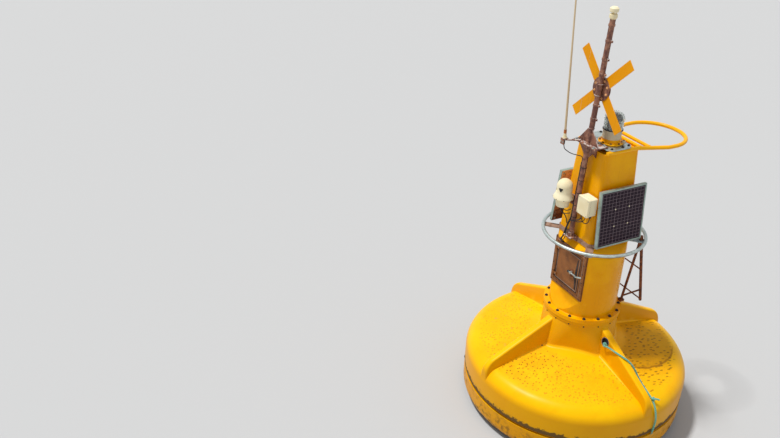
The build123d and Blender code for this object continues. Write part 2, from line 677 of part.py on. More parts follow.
def loop_frame():
    """Yellow tube loop with two cross rails, lying on the tower's top and reaching to the rear."""
    z = TOWER_TOP_Z + CAP_THICK + LOOP_TUBE
    cx = LOOP_OFFSET_X
    points = [
        (cx - LOOP_HALF_FRONT, LOOP_FRONT_Y, z),
        (cx - LOOP_HALF_FRONT, LOOP_SPLAY_Y, z),
        (cx - LOOP_HALF_REAR, LOOP_WIDE_Y, z),
        (cx - LOOP_HALF_REAR, LOOP_REAR_Y, z),
        (cx + LOOP_HALF_REAR, LOOP_REAR_Y, z),
        (cx + LOOP_HALF_REAR, LOOP_WIDE_Y, z),
        (cx + LOOP_HALF_FRONT, LOOP_SPLAY_Y, z),
        (cx + LOOP_HALF_FRONT, LOOP_FRONT_Y, z),
    ]
    bends = [LOOP_BEND, LOOP_BEND, LOOP_END_BEND, LOOP_END_BEND, LOOP_BEND, LOOP_BEND]
    frame = tube_along(points, bends, LOOP_TUBE)
    for y in LOOP_RAIL_YS:
        t = min(1.0, max(0.0, (y - LOOP_SPLAY_Y) / (LOOP_WIDE_Y - LOOP_SPLAY_Y)))
        half = LOOP_HALF_FRONT + t * (LOOP_HALF_REAR - LOOP_HALF_FRONT)
        frame = frame + between(LOOP_TUBE - 2, (cx - half, y, z), (cx + half, y, z))
    return frame


def lantern_pieces():
    """The marker light from its plate up: name and solid."""
    x = LANTERN_X
    y = LANTERN_Y
    z0 = TOWER_TOP_Z + CAP_THICK + 2 * LOOP_TUBE
    z1 = z0 + LANTERN_PLATE_THICK
    z2 = z1 + LANTERN_FLANGE_THICK
    z3 = z1 + LANTERN_PEDESTAL_HEIGHT
    z4 = z3 + LANTERN_BASE_HEIGHT
    z5 = z4 + LANTERN_SEAL_HEIGHT
    z6 = z5 + LANTERN_LENS_HEIGHT
    r = LANTERN_LENS_RADIUS
    middle_y = (LANTERN_PLATE_FRONT_Y + LANTERN_PLATE_REAR_Y) / 2
    plate = extrude(Plane.XY.offset(z0) * Pos(LOOP_OFFSET_X, middle_y) * RectangleRounded(
        2 * LANTERN_PLATE_HALF, LANTERN_PLATE_REAR_Y - LANTERN_PLATE_FRONT_Y, LANTERN_PLATE_CORNER), amount=z1 - z0)
    knob = cylinder(LANTERN_KNOB_RADIUS, z2, z2 + LANTERN_KNOB_HEIGHT, LANTERN_KNOB_X, LANTERN_KNOB_Y)
    knob = knob + cylinder(LANTERN_KNOB_RADIUS / 2, z1, z2, LANTERN_KNOB_X, LANTERN_KNOB_Y)
    knob = fillet(knob.faces().sort_by(Axis.Z)[-1].edges(), LANTERN_KNOB_RADIUS / 2)
    flange = cylinder(LANTERN_FLANGE_RADIUS, z1, z2, x, y) + cylinder(LANTERN_PEDESTAL_RADIUS, z2, z3, x, y)
    base = cylinder(LANTERN_BASE_RADIUS, z3, z4, x, y)
    seal = cylinder(r + 1, z4, z5, x, y)

    def dome(shrink):
        with BuildPart() as part:
            with BuildSketch(Plane.XZ):
                with BuildLine():
                    side = Line((r * 0.94 - shrink, z5), (r - shrink, z6 - 66))
                    crown = TangentArc(side @ 1, (r * 0.5, z6 - shrink), tangent=side % 1)
                    Line(crown @ 1, (0, z6 - shrink))
                    Line((0, z6 - shrink), (0, z5))
                    Line((0, z5), side @ 0)
                make_face()
            revolve(axis=Axis.Z)
        return Pos(x, y, 0) * part.part

    lens = dome(0.0) - dome(LANTERN_LENS_WALL)
    core = cylinder(LANTERN_CORE_RADIUS, z5, z6 - 70, x, y) + cylinder(LANTERN_CORE_RADIUS * 1.4, z5, z5 + 30, x, y)
    return [("lantern_plate", plate), ("lantern_flange", flange), ("lantern_base", base), ("lantern_seal", seal),
            ("lantern_lens", lens), ("lantern_core", core), ("lantern_knob", knob)]


def mast_tube(low, high):
    """A length of the raked mast."""
    outer = between(MAST_TUBE, mast_at(low), mast_at(high))
    return outer - between(MAST_BORE, mast_at(low - 1), mast_at(high + 1))


def mast_foot():
    """Foot plate and socket for the mast on the band."""
    z = MAST_FOOT_Z
    x, y, _ = mast_at(z)
    low = RING_Z - RING_TUBE - SEAT_GAP - ARM_THICK
    band_front = -(face_out(low) + BAND_FIT + BAND_THICK)
    plate = block(x - 55, x + 55, y - 48, band_front, z - 12, z)
    lug = block(x - 55, x + 55, band_front - 10, band_front, low, z)
    socket = cylinder(MAST_TUBE + 8, z, z + MAST_SOCKET, x, y)
    web = Plane(origin=(x, y + 4, 0), x_dir=(1, 0, 0), z_dir=(0, -1, 0)) * make_face(Polyline(
        (-55, z), (55, z), (MAST_TUBE, z + MAST_WEB), (-MAST_TUBE, z + MAST_WEB), close=True))
    bore = between(MAST_TUBE, mast_at(z - MAST_SOCKET), mast_at(z + 2 * MAST_WEB))
    return plate + lug + ((socket + extrude(web, amount=8)) - bore)


def mast_bracket():
    """Top bracket: a plate on the tower's front edge with gussets above and below, round the mast."""
    z = MAST_JOINT_Z
    half = BRACKET_PLATE / 2
    x, y, _ = mast_at(z)
    plate = block(x - BRACKET_HALF, x + BRACKET_HALF, y - BRACKET_REACH, BRACKET_REAR_Y, z - half, z + half)
    face = Plane(origin=(x, y + 5, 0), x_dir=(1, 0, 0), z_dir=(0, -1, 0))
    above = face * make_face(Polyline(
        (-BRACKET_GUSSET, z + half), (BRACKET_GUSSET, z + half), (MAST_TUBE, z + BRACKET_ABOVE),
        (-MAST_TUBE, z + BRACKET_ABOVE), close=True))
    below = face * make_face(Polyline(
        (-BRACKET_GUSSET, z - half), (BRACKET_GUSSET, z - half), (MAST_TUBE, z - BRACKET_BELOW),
        (-MAST_TUBE, z - BRACKET_BELOW), close=True))
    body = plate + extrude(above, amount=10) + extrude(below, amount=10)
    tower_front = -(TOWER_HALF_TOP + 6)
    for side in (-1, 1):
        web = Plane.YZ.offset(x + side * BRACKET_WEB_X) * make_face(Polyline(
            (tower_front, z - half), (y - 5, z - half), (y - 5, z - BRACKET_BELOW / 2), (tower_front, z - BRACKET_BELOW),
            close=True))
        body = body + extrude(web, amount=BRACKET_PLATE / 3, both=True)
    reach = BRACKET_ABOVE + BRACKET_BELOW
    return body - between(MAST_TUBE + MAST_FIT, mast_at(z - reach), mast_at(z + reach))


def topmark():
    """St Andrew's cross: four flat arms between two round plates behind the mast."""
    x, y, z = mast_at(TOPMARK_Z)
    centre_y = y + MAST_TUBE + TOPMARK_HUB_THICK + TOPMARK_THICK / 2 + 1
    lean = degrees(atan2(MAST_Y_TOP - MAST_Y_LOW, MAST_TOP_Z - MAST_LOW_Z))
    place = Pos(x - 10, centre_y, z) * Rot(-lean, 0, 0)
    arms = []
    for turn in (45, 135, 225, 315):
        arm = Pos(TOPMARK_ARM / 2 + 8, 0, 0) * Box(TOPMARK_ARM - 16, TOPMARK_THICK, TOPMARK_WIDTH)
        arms.append(Rot(0, turn, 0) * arm)
    cross = arms[0]
    for arm in arms[1:]:
        cross = cross + arm
    hubs = []
    for side in (-1, 1):
        disc = Pos(0, side * (TOPMARK_THICK + TOPMARK_HUB_THICK) / 2, 0) * Rot(90, 0, 0) * Cylinder(
            TOPMARK_HUB_RADIUS, TOPMARK_HUB_THICK)
        hubs.append(place * disc)
    return place * cross, Compound(children=hubs)


def mast_clamps():
    """Band clamps round the upper mast, each with its screw lug."""
    clamps = []
    for z in CLAMP_HEIGHTS:
        low = mast_at(z - CLAMP_WIDTH / 2)
        high = mast_at(z + CLAMP_WIDTH / 2)
        band = between(MAST_TUBE + CLAMP_THICK, low, high)
        x, y, _ = mast_at(z)
        lug = block(x + MAST_TUBE, x + MAST_TUBE + 24, y - 7, y + 7, z - CLAMP_WIDTH / 2 + 2, z + CLAMP_WIDTH / 2 - 2)
        clamps.append((band + lug) - between(MAST_TUBE, mast_at(z - 60), mast_at(z + 60)))
    return Compound(children=clamps)


def sensor_pieces():
    """Weather sensor: a stem with two drums and three thin pins between them."""
    x, y, z = mast_at(MAST_TOP_Z)
    lean = hypot(MAST_X_TOP - MAST_X_LOW, MAST_Y_TOP - MAST_Y_LOW) / (MAST_TOP_Z - MAST_LOW_Z)
    z0 = z + MAST_TUBE * lean + SEAT_GAP
    z1 = z0 + SENSOR_DRUM
    z2 = z1 + SENSOR_GAP
    z3 = z2 + SENSOR_DRUM
    with BuildPart() as lower:
        with BuildSketch(Plane.XZ):
            with BuildLine():
                Polyline((0, z0), (SENSOR_STEM + 8, z0), (SENSOR_RADIUS - 4, z0 + 12), (SENSOR_RADIUS - 4, z1 - 4),
                         (SENSOR_RADIUS - 10, z1), (0, z1), (0, z0))
            make_face()
        revolve(axis=Axis.Z)
    with BuildPart() as upper:
        with BuildSketch(Plane.XZ):
            with BuildLine():
                Polyline((0, z2), (SENSOR_RADIUS - 6, z2), (SENSOR_RADIUS, z2 + 8), (SENSOR_RADIUS, z3 - 12),
                         (SENSOR_RADIUS - 14, z3), (0, z3), (0, z2))
            make_face()
        revolve(axis=Axis.Z)
    pins = None
    for azimuth in (30, 150, 270):
        a = radians(azimuth)
        pin = cylinder(3.5, z1 - 1, z2 + 1, (SENSOR_RADIUS - 16) * cos(a), (SENSOR_RADIUS - 16) * sin(a))
        pins = pin if pins is None else pins + pin
    return Pos(x, y, 0) * (lower.part + upper.part + pins)


def antenna_arm():
    """Bracket arm from the mast's top plate to the whip's foot."""
    x, y, z = WHIP_FOOT
    plate = block(x - 24, x + 24, y - 26, y + 26, z - 8, z)
    drop = block(x - 24, x + 24, y - 26, y - 20, z - WHIP_BRACKET, z)
    mx, my, mz = mast_at(MAST_JOINT_Z)
    rod = between(WHIP_ARM_RADIUS, (x, y, z - 17), (mx - 60, my - 46, MAST_JOINT_Z + 17))
    return (plate + drop + rod) - between(MAST_TUBE, mast_at(mz - WHIP_BRACKET), mast_at(mz + 2 * WHIP_BRACKET))


def antenna_pieces():
    """Whip antenna: mount, ferrule and tapered whip, in one line."""
    x, y, z = WHIP_FOOT
    lean = Vector(WHIP_LEAN_X, WHIP_LEAN_Y, WHIP_LENGTH).normalized()
    plane = Plane(origin=(x, y, z), z_dir=lean)
    up = (Align.CENTER, Align.CENTER, Align.MIN)
    mount = cylinder(WHIP_MOUNT_RADIUS + 4, z, z + 10, x, y)
    mount = mount + plane * Pos(0, 0, 4) * Cone(WHIP_MOUNT_RADIUS, WHIP_MOUNT_RADIUS - 4, WHIP_MOUNT_HEIGHT - 4, align=up)
    ferrule = plane * Pos(0, 0, WHIP_MOUNT_HEIGHT) * Cylinder(WHIP_RADIUS + 3, WHIP_FERRULE_HEIGHT, align=up)
    start = WHIP_MOUNT_HEIGHT + WHIP_FERRULE_HEIGHT
    whip = plane * Pos(0, 0, start) * Cone(WHIP_RADIUS, WHIP_TIP_RADIUS, WHIP_LENGTH - start, align=up)
    return mount, ferrule, whip


def camera_pieces():
    """Camera: arm from the tower, tapered base, flared skirt with a domed top, and a dark window."""
    z0 = CAMERA_LOW_Z
    z1 = z0 + CAMERA_BASE_HEIGHT
    z2 = z1 + CAMERA_SKIRT_HEIGHT
    place = Pos(CAMERA_X, CAMERA_Y, 0)
    up = (Align.CENTER, Align.CENTER, Align.MIN)
    base = place * Pos(0, 0, z0) * Cone(CAMERA_BASE_RADIUS, CAMERA_NECK_RADIUS, CAMERA_BASE_HEIGHT, align=up)
    with BuildPart() as dome:
        with BuildSketch(Plane.XZ):
            with BuildLine():
                rim = Line((0, z1), (CAMERA_SKIRT_RADIUS, z1))
                edge = Line(rim @ 1, (CAMERA_SKIRT_RADIUS, z1 + 10))
                flare = Line(edge @ 1, (CAMERA_DOME_RADIUS, z2))
                side = Line(flare @ 1, (CAMERA_DOME_RADIUS, CAMERA_TOP_Z - CAMERA_DOME_RADIUS))
                crown = RadiusArc(side @ 1, (0, CAMERA_TOP_Z), -CAMERA_DOME_RADIUS)
                Line(crown @ 1, rim @ 0)
            make_face()
        revolve(axis=Axis.Z)
    head = place * dome.part
    z = z2 + 20
    look = Rot(0, 0, CAMERA_WINDOW_AZIMUTH) * Pos(CAMERA_DOME_RADIUS, 0, z) * Rot(0, 90, 0)
    pocket = place * look * Cylinder(CAMERA_WINDOW, 16)
    window = place * look * Pos(0, 0, -4) * Cylinder(CAMERA_WINDOW - 0.3, 8)
    head = head - pocket
    wall_z = (z0 + z1) / 2
    wall = -face_out(wall_z)
    arm = block(CAMERA_X - CAMERA_ARM / 2, CAMERA_X + CAMERA_ARM / 2, CAMERA_Y, wall + 6, z0 + 20, z0 + 60)
    flange = block(CAMERA_X - CAMERA_ARM, CAMERA_X + CAMERA_ARM, wall - 10, wall + 6, z0 - 10, z0 + 90)
    bracket = (arm + flange) - tower_form(0.0) - place * Pos(0, 0, z0) * Cone(
        CAMERA_BASE_RADIUS + 0.3, CAMERA_NECK_RADIUS + 0.3, CAMERA_BASE_HEIGHT, align=up)
    return bracket, base, head, window


def junction_box():
    """Junction box with its lid, its bracket to the tower and three cable glands below."""
    z0 = BOX_CENTRE_Z - BOX_HEIGHT / 2
    z1 = BOX_CENTRE_Z + BOX_HEIGHT / 2
    x0 = BOX_X - BOX_WIDTH / 2
    x1 = BOX_X + BOX_WIDTH / 2
    back = BOX_FRONT_Y + BOX_DEPTH
    split = BOX_FRONT_Y + BOX_LID
    body = block(x0, x1, split, back, z0, z1)
    body = fillet(body.edges().filter_by(Axis.Y), BOX_CORNER)
    lid = block(x0 - 3, x1 + 3, BOX_FRONT_Y, split, z0 - 3, z1 + 3)
    lid = fillet(lid.edges().filter_by(Axis.Y), BOX_CORNER)
    lid = fillet(lid.faces().sort_by(Axis.Y)[0].edges(), 5)
    wall = -face_out(z0)
    bracket = block(BOX_X - 90, BOX_X + 20, back, wall + 30, BOX_CENTRE_Z - 60, BOX_CENTRE_Z + 60) - tower_form(0.0)
    glands = []
    for x in GLAND_XS:
        glands.append(cylinder(GLAND_RADIUS, z0 - GLAND_LENGTH, z0, x, (split + back) / 2))
    return body, lid, bracket, Compound(children=glands)


def share(start, end, t):
    """A point part of the way along a line."""
    return tuple(a + t * (b - a) for a, b in zip(start, end))


def rear_legs(side, grow):
    """Outer and inner legs of the rear frame at one side."""
    top = (side * REAR_TOP[0], REAR_TOP[1], REAR_TOP[2])
    outer = (side * REAR_OUTER_FOOT[0], REAR_OUTER_FOOT[1], REAR_OUTER_FOOT[2])
    inner = (side * REAR_INNER_FOOT[0], REAR_INNER_FOOT[1], REAR_INNER_FOOT[2])
    return between(REAR_LEG + grow, top, outer) + between(REAR_LEG - 2 + grow, top, inner), top, outer, inner


def rear_frame():
    """Rear frame: outer and inner legs at each side, cross bars and low struts."""
    flange_top = FLANGE_SEAT_Z + TOWER_FLANGE_THICK
    frame = None
    for side in (-1, 1):
        legs, top, outer, inner = rear_legs(side, 0.0)
        low, high = REAR_STRUT_SHARES
        legs = legs + between(REAR_BAR + 2, share(top, inner, low), share(top, outer, high))
        half = REAR_FOOT / 2
        foot = block(inner[0] - half, inner[0] + half, inner[1] - half, inner[1] + half, flange_top, inner[2] + 8)
        legs = legs + foot
        frame = legs if frame is None else frame + legs
    for t in REAR_BAR_SHARES:
        x, y, z = share(REAR_TOP, REAR_OUTER_FOOT, t)
        frame = frame + between(REAR_BAR, (-x, y, z), (x, y, z))
    return frame


def cord(points, radius):
    """A plain cord tube: each corner's arc radius comes from its own runs, and is printed."""
    radii = []
    for a, b, c in zip(points, points[1:], points[2:]):
        first = Vector(*b) - Vector(*a)
        second = Vector(*c) - Vector(*b)
        turn = radians(first.get_angle(second))
        radii.append(round(0.45 * min(first.length, second.length) / tan(turn / 2), 1))
    print("cord radii", radii)
    return tube_along(points, radii, radius)


def rope_knot():
    """Stopper knot in the rib's hole, as a barrel in line with the rope's first run."""
    start = Vector(*ROPE[0])
    toward = (Vector(*ROPE[1]) - start).normalized()
    plane = Plane(origin=start, z_dir=toward * -1)
    barrel = plane * Cylinder(ROPE_KNOT_RADIUS, ROPE_KNOT_LENGTH, align=(Align.CENTER, Align.CENTER, Align.MIN))
    return fillet(barrel.edges().filter_by(GeomType.CIRCLE), ROPE_KNOT_RADIUS - ROPE_RADIUS)


def cable_gland():
    """Gland on the hatch flat that takes the mast's cable bundle."""
    x, y, z = BUNDLE_CABLE[-1]
    return Pos(x, y, z) * Rot(-90, 0, 0) * Cylinder(
        CABLE_GLAND_RADIUS, -HATCH_FLAT_Y - y, align=(Align.CENTER, Align.CENTER, Align.MIN))


PARTS = []


def add(name, shape):
    """Keep a named piece."""
    PARTS.append((name, shape))


add("hull_upper", hull_upper())
add("hull_lower", hull_lower())
add("keel_plate", keel_plate())
add("tower_body", tower_body())
add("hatch_frame", hatch_frame())
add("hinge_pins", hinge_pins())
add("hatch_door", hatch_door())
add("door_handle", door_handle())
add("ring_guard", ring_guard())
add("ring_band", ring_band())
for name, azimuth in PANELS:
    add("panel_frame_" + name, panel_frame(azimuth))
    add("panel_glass_" + name, panel_laminate(azimuth))
    add("panel_rails_" + name, panel_rails(azimuth))
add("top_cap", top_cap())
add("loop_frame", loop_frame())
for name, solid in lantern_pieces():
    add(name, solid)
add("mast_lower", mast_tube(MAST_LOW_Z, MAST_JOINT_Z))
add("mast_upper", mast_tube(MAST_JOINT_Z, MAST_TOP_Z))
add("mast_foot", mast_foot())
add("mast_bracket", mast_bracket())
cross, hubs = topmark()
add("topmark_arms", cross)
add("topmark_hubs", hubs)
add("mast_clamps", mast_clamps())
add("sensor_weather", sensor_pieces())
add("antenna_arm", antenna_arm())
mount, ferrule, whip = antenna_pieces()
add("antenna_base", mount)
add("antenna_ferrule", ferrule)
add("antenna_whip", whip)
bracket, base, head, window = camera_pieces()
add("camera_bracket", bracket)
add("camera_base", base)
add("camera_dome", head)
add("camera_window", window)
body, lid, bracket, glands = junction_box()
add("box_body", body)
add("box_lid", lid)
add("box_bracket", bracket)
add("box_glands", glands)
add("rear_frame", rear_frame())
add("cable_camera", cord(CAMERA_CABLE, CABLE_RADIUS))
add("cable_bundle", cord(BUNDLE_CABLE, CABLE_RADIUS + 2))
add("cable_box", cord(BOX_CABLE, CABLE_RADIUS))
add("cable_antenna", cord(ANTENNA_LEAD, CABLE_RADIUS - 1))
add("cable_gland", cable_gland())
add("rope", cord(ROPE, ROPE_RADIUS))
add("rope_knot", rope_knot())

os.makedirs("parts", exist_ok=True)
for name, shape in PARTS:
    export_step(shape, "parts/" + name + ".step")
    box = shape.bounding_box()
    print(name, [round(v) for v in (box.min.X, box.min.Y, box.min.Z, box.max.X, box.max.Y, box.max.Z)])
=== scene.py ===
"""Finishes, fasteners, cords and soft-edged mouldings of a solar data buoy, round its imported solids."""
import json
import logging
import math
from collections.abc import Iterable, Sequence
from dataclasses import dataclass, field
from enum import Enum
from typing import Any

import bmesh
import bpy
import numpy as np
from mathutils import Matrix, Vector

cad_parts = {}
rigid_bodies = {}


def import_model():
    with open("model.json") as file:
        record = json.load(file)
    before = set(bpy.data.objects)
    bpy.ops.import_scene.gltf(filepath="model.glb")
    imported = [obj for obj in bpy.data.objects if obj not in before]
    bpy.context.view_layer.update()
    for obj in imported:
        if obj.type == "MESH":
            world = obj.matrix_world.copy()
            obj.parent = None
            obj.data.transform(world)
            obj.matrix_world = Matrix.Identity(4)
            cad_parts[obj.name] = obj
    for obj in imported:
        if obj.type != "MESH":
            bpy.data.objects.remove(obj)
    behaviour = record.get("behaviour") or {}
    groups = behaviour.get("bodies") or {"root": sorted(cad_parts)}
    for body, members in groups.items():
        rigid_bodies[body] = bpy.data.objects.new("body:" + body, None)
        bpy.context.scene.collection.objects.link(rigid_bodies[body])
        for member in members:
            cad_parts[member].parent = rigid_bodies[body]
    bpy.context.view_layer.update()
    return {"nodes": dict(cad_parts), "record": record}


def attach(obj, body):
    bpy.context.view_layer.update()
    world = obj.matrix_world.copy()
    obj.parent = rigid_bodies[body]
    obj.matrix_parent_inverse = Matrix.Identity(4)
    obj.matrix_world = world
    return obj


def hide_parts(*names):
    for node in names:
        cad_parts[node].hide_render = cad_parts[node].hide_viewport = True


for leftover in list(bpy.data.objects):
    bpy.data.objects.remove(leftover)
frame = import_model()

Array = np.ndarray
Point = tuple[float, float, float]
Colour = tuple[int, int, int]
Socket = bpy.types.NodeSocket
log = logging.getLogger("buoy")

UP: Point = (0.0, 0.0, 1.0)
FRONT: Point = (0.0, -1.0, 0.0)
UPSIDE_DOWN = np.diag([1.0, -1.0, -1.0, 1.0])
GENTLE_EDGE = math.radians(28)
SEAM = 1e-6
FLOOR_GAP = 0.0005


class Body(str, Enum):
    """The two bodies that pieces ride on."""

    BUOY = "buoy"
    HATCH = "hatch"


def tint(red: int, green: int, blue: int) -> tuple[float, float, float, float]:
    """A colour as seen on a screen, 0 to 255, as the linear colour that a shader takes.

    Args:
        red, green, blue: the screen colour.

    Returns:
        The linear colour with full alpha.
    """
    screen = np.array([red, green, blue]) / 255.0
    linear = np.where(screen <= 0.04045, screen / 12.92, ((screen + 0.055) / 1.055) ** 2.4)
    return (*map(float, linear), 1.0)


class Form:
    """Points and faces of one surface, or of several joined."""

    def __init__(self, points: Array, faces: Iterable[Sequence[int]]) -> None:
        """Keeps the points as one array and the faces as lists of point numbers."""
        self.points = np.asarray(points, float).reshape(-1, 3)
        self.faces = [list(face) for face in faces]

    def __add__(self, other: "Form") -> "Form":
        """Both surfaces as one."""
        shift = len(self.points)
        faces = self.faces + [[index + shift for index in face] for face in other.faces]
        return Form(np.vstack([self.points, other.points]), faces)

    def moved(self, matrix: Array) -> "Form":
        """The surface carried by a 4 by 4 matrix: each point times the turn, plus the shift."""
        return Form(self.points @ matrix[:3, :3].T + matrix[:3, 3], self.faces)

    def shifted(self, place: Sequence[float]) -> "Form":
        """The surface moved by three lengths."""
        return self.moved(np.array(Matrix.Translation(place)))

    def repeated(self, matrices: Array) -> "Form":
        """One copy for each matrix, joined.

        Args:
            matrices: an array of k matrices, 4 by 4.

        Returns:
            The joined copies: copy j is every point times matrix j, worked out as one product.
        """
        count, size = len(matrices), len(self.points)
        points = np.einsum("kij,nj->kni", matrices[:, :3, :3], self.points) + matrices[:, None, :3, 3]
        shifts = np.arange(count) * size
        faces = [[index + int(shift) for index in face] for shift in shifts for face in self.faces]
        return Form(points.reshape(-1, 3), faces)


def joined(forms: Sequence[Form]) -> Form:
    """Several surfaces as one."""
    whole = forms[0]
    for form in forms[1:]:
        whole = whole + form
    return whole


def grid_faces(rows: int, columns: int, round_rows: bool = False,
               round_columns: bool = False) -> list[list[int]]:
    """Quads over a grid of points, row after row.

    Args:
        rows, columns: the grid's size.
        round_rows, round_columns: whether the last row or column meets the first.

    Returns:
        The quads, each turning the same way.
    """
    row = np.arange(rows if round_rows else rows - 1)[:, None]
    column = np.arange(columns if round_columns else columns - 1)[None, :]
    next_row, next_column = (row + 1) % rows, (column + 1) % columns
    corners = [row * columns + column, row * columns + next_column, next_row * columns + next_column,
               next_row * columns + column]
    quads = np.stack([np.broadcast_to(c, (row.size, column.size)) for c in corners], -1)
    return quads.reshape(-1, 4).tolist()


def lathe(profile: Array, turns: int = 48) -> Form:
    """A surface of revolution about Z: radius times cosine and sine of the angle, and the height.

    Args:
        profile: radius and height of each ring, from the bottom outwards and up.
        turns: how many steps round.

    Returns:
        The surface, with a pole wherever the radius is nought.
    """
    profile = np.asarray(profile, float)
    angle = np.arange(turns) * 2 * math.pi / turns
    radius, height = profile[:, 0, None], profile[:, 1, None]
    points = np.stack([radius * np.cos(angle), radius * np.sin(angle),
                       np.broadcast_to(height, (len(profile), turns))],
                      -1)
    return Form(points, grid_faces(len(profile), turns, round_columns=True))


def arc(centre: tuple[float, float], radius: float, start: float, end: float, steps: int = 8) -> Array:
    """Points of a circle's arc between two angles in degrees: centre plus radius times cosine and sine."""
    angle = np.radians(np.linspace(start, end, steps))
    return np.array(centre) + radius * np.stack([np.cos(angle), np.sin(angle)], -1)


def rounded_rectangle(width: float, height: float, radius: float, steps: int = 6) -> Array:
    """Outline of a rectangle with round corners: four quarter arcs in a row."""
    x, y = width / 2 - radius, height / 2 - radius
    centres = [(x, -y), (x, y), (-x, y), (-x, -y)]
    return np.vstack([arc(c, radius, -90 + 90 * i, 90 * i, steps) for i, c in enumerate(centres)])


def inset(outline: Array, depth: float) -> Array:
    """A closed outline moved inwards: each point goes along the mean of its two sides' inward normals."""
    ahead = np.roll(outline, -1, 0) - outline
    along = ahead / np.maximum(np.linalg.norm(ahead, axis=1, keepdims=True), 1e-9)
    normal = np.stack([-along[:, 1], along[:, 0]], -1)
    mean = normal + np.roll(normal, 1, 0)
    length = np.maximum((mean * mean).sum(1, keepdims=True), 0.5)
    return outline + depth * 2 * mean / length


def slab(outline: Array, low: float, high: float, edge: float) -> Form:
    """A plate with softened edges: the outline's rings, drawn in at both faces by a quarter-round.

    Args:
        outline: closed outline in X and Y, anticlockwise.
        low, high: heights of the two faces.
        edge: radius of the softened edge.

    Returns:
        The closed plate.
    """
    turn = np.radians(np.linspace(0, 90, 4))
    depth = edge * (1 - np.sin(turn))
    rise = edge * (1 - np.cos(turn))
    depths = np.concatenate([depth, depth[::-1]])
    heights = np.concatenate([low + rise, high - rise[::-1]])
    rings = np.stack([np.column_stack([inset(outline, d), np.full(len(outline), h)]) for d,
                      h in zip(depths, heights)])
    count = len(outline)
    form = Form(rings, grid_faces(len(depths), count, round_columns=True))
    last = (len(depths) - 1) * count
    form.faces += [list(range(count - 1, -1, -1)), list(range(last, last + count))]
    return form


def carried(path: Array, outline: Array, upright: Sequence[float], radii: Array | float = 1.0,
            capped: bool = True,
            ring: bool = False) -> Form:
    """An outline carried along a path, square to it.

    Args:
        path: the points that it follows.
        outline: the outline's points across and up.
        upright: a direction that the path never runs along, which sets the outline's up.
        radii: what the outline is multiplied by, one number or one for each point.
        capped: whether the two ends are closed.
        ring: whether the path's end meets its start.

    Returns:
        The surface: path point plus outline across times side, plus outline up times rise.
    """
    path = np.asarray(path, float)
    ahead = np.roll(path, -1, 0) - np.roll(path, 1, 0)
    if not ring:
        ahead[0], ahead[-1] = path[1] - path[0], path[-1] - path[-2]
    ahead /= np.linalg.norm(ahead, axis=1, keepdims=True)
    side = np.cross(ahead, np.asarray(upright, float))
    side /= np.linalg.norm(side, axis=1, keepdims=True)
    rise = np.cross(side, ahead)
    scale = np.broadcast_to(np.asarray(radii, float), (len(path),))[:, None, None]
    across, up = outline[None, :, 0, None], outline[None, :, 1, None]
    points = path[:, None] + scale * (across * side[:, None] + up * rise[:, None])
    count = len(outline)
    form = Form(points, grid_faces(len(path), count, round_rows=ring, round_columns=True))
    if capped and not ring:
        last = (len(path) - 1) * count
        form.faces += [list(range(count - 1, -1, -1)), list(range(last, last + count))]
    return form


def circle(radius: float, sides: int = 12) -> Array:
    """A circle's outline: radius times cosine and sine of even steps."""
    return arc((0.0, 0.0), radius, 0, 360 - 360 / sides, sides)


def frame_at(origin: Sequence[float], outward: Sequence[float], spin: float = 0.0,
             across: Sequence[float] = UP) -> Array:
    """The matrix that stands a form's Z along a direction at a point.

    Args:
        origin: where the form's origin goes.
        outward: where its Z points.
        spin: its turn about that direction, in radians.
        across: a direction off that line, which its Y leans to.

    Returns:
        The 4 by 4 matrix.
    """
    z = Vector(outward).normalized()
    y = Vector(across)
    if abs(z.dot(y.normalized())) > 0.98:
        y = Vector((0.0, 1.0, 0.0))
    x = y.cross(z).normalized()
    turn = Matrix((x, z.cross(x), z)).transposed() @ Matrix.Rotation(spin, 3, "Z")
    return np.array(Matrix.Translation(origin) @ turn.to_4x4())


def hex_bolt(radius: float, height: float, washer: float = 0.0) -> Form:
    """A bolt's head with a chamfered top, on its washer, standing on the origin."""
    base = washer and radius * 0.22
    head = lathe([(0, base), (radius, base), (radius, base + height * 0.82), (radius * 0.84, base + height),
                  (0, base + height)], 6)
    if not washer:
        return head
    return head + lathe([(0, 0), (washer, 0), (washer, base * 0.8), (washer * 0.96, base), (0, base)], 16)


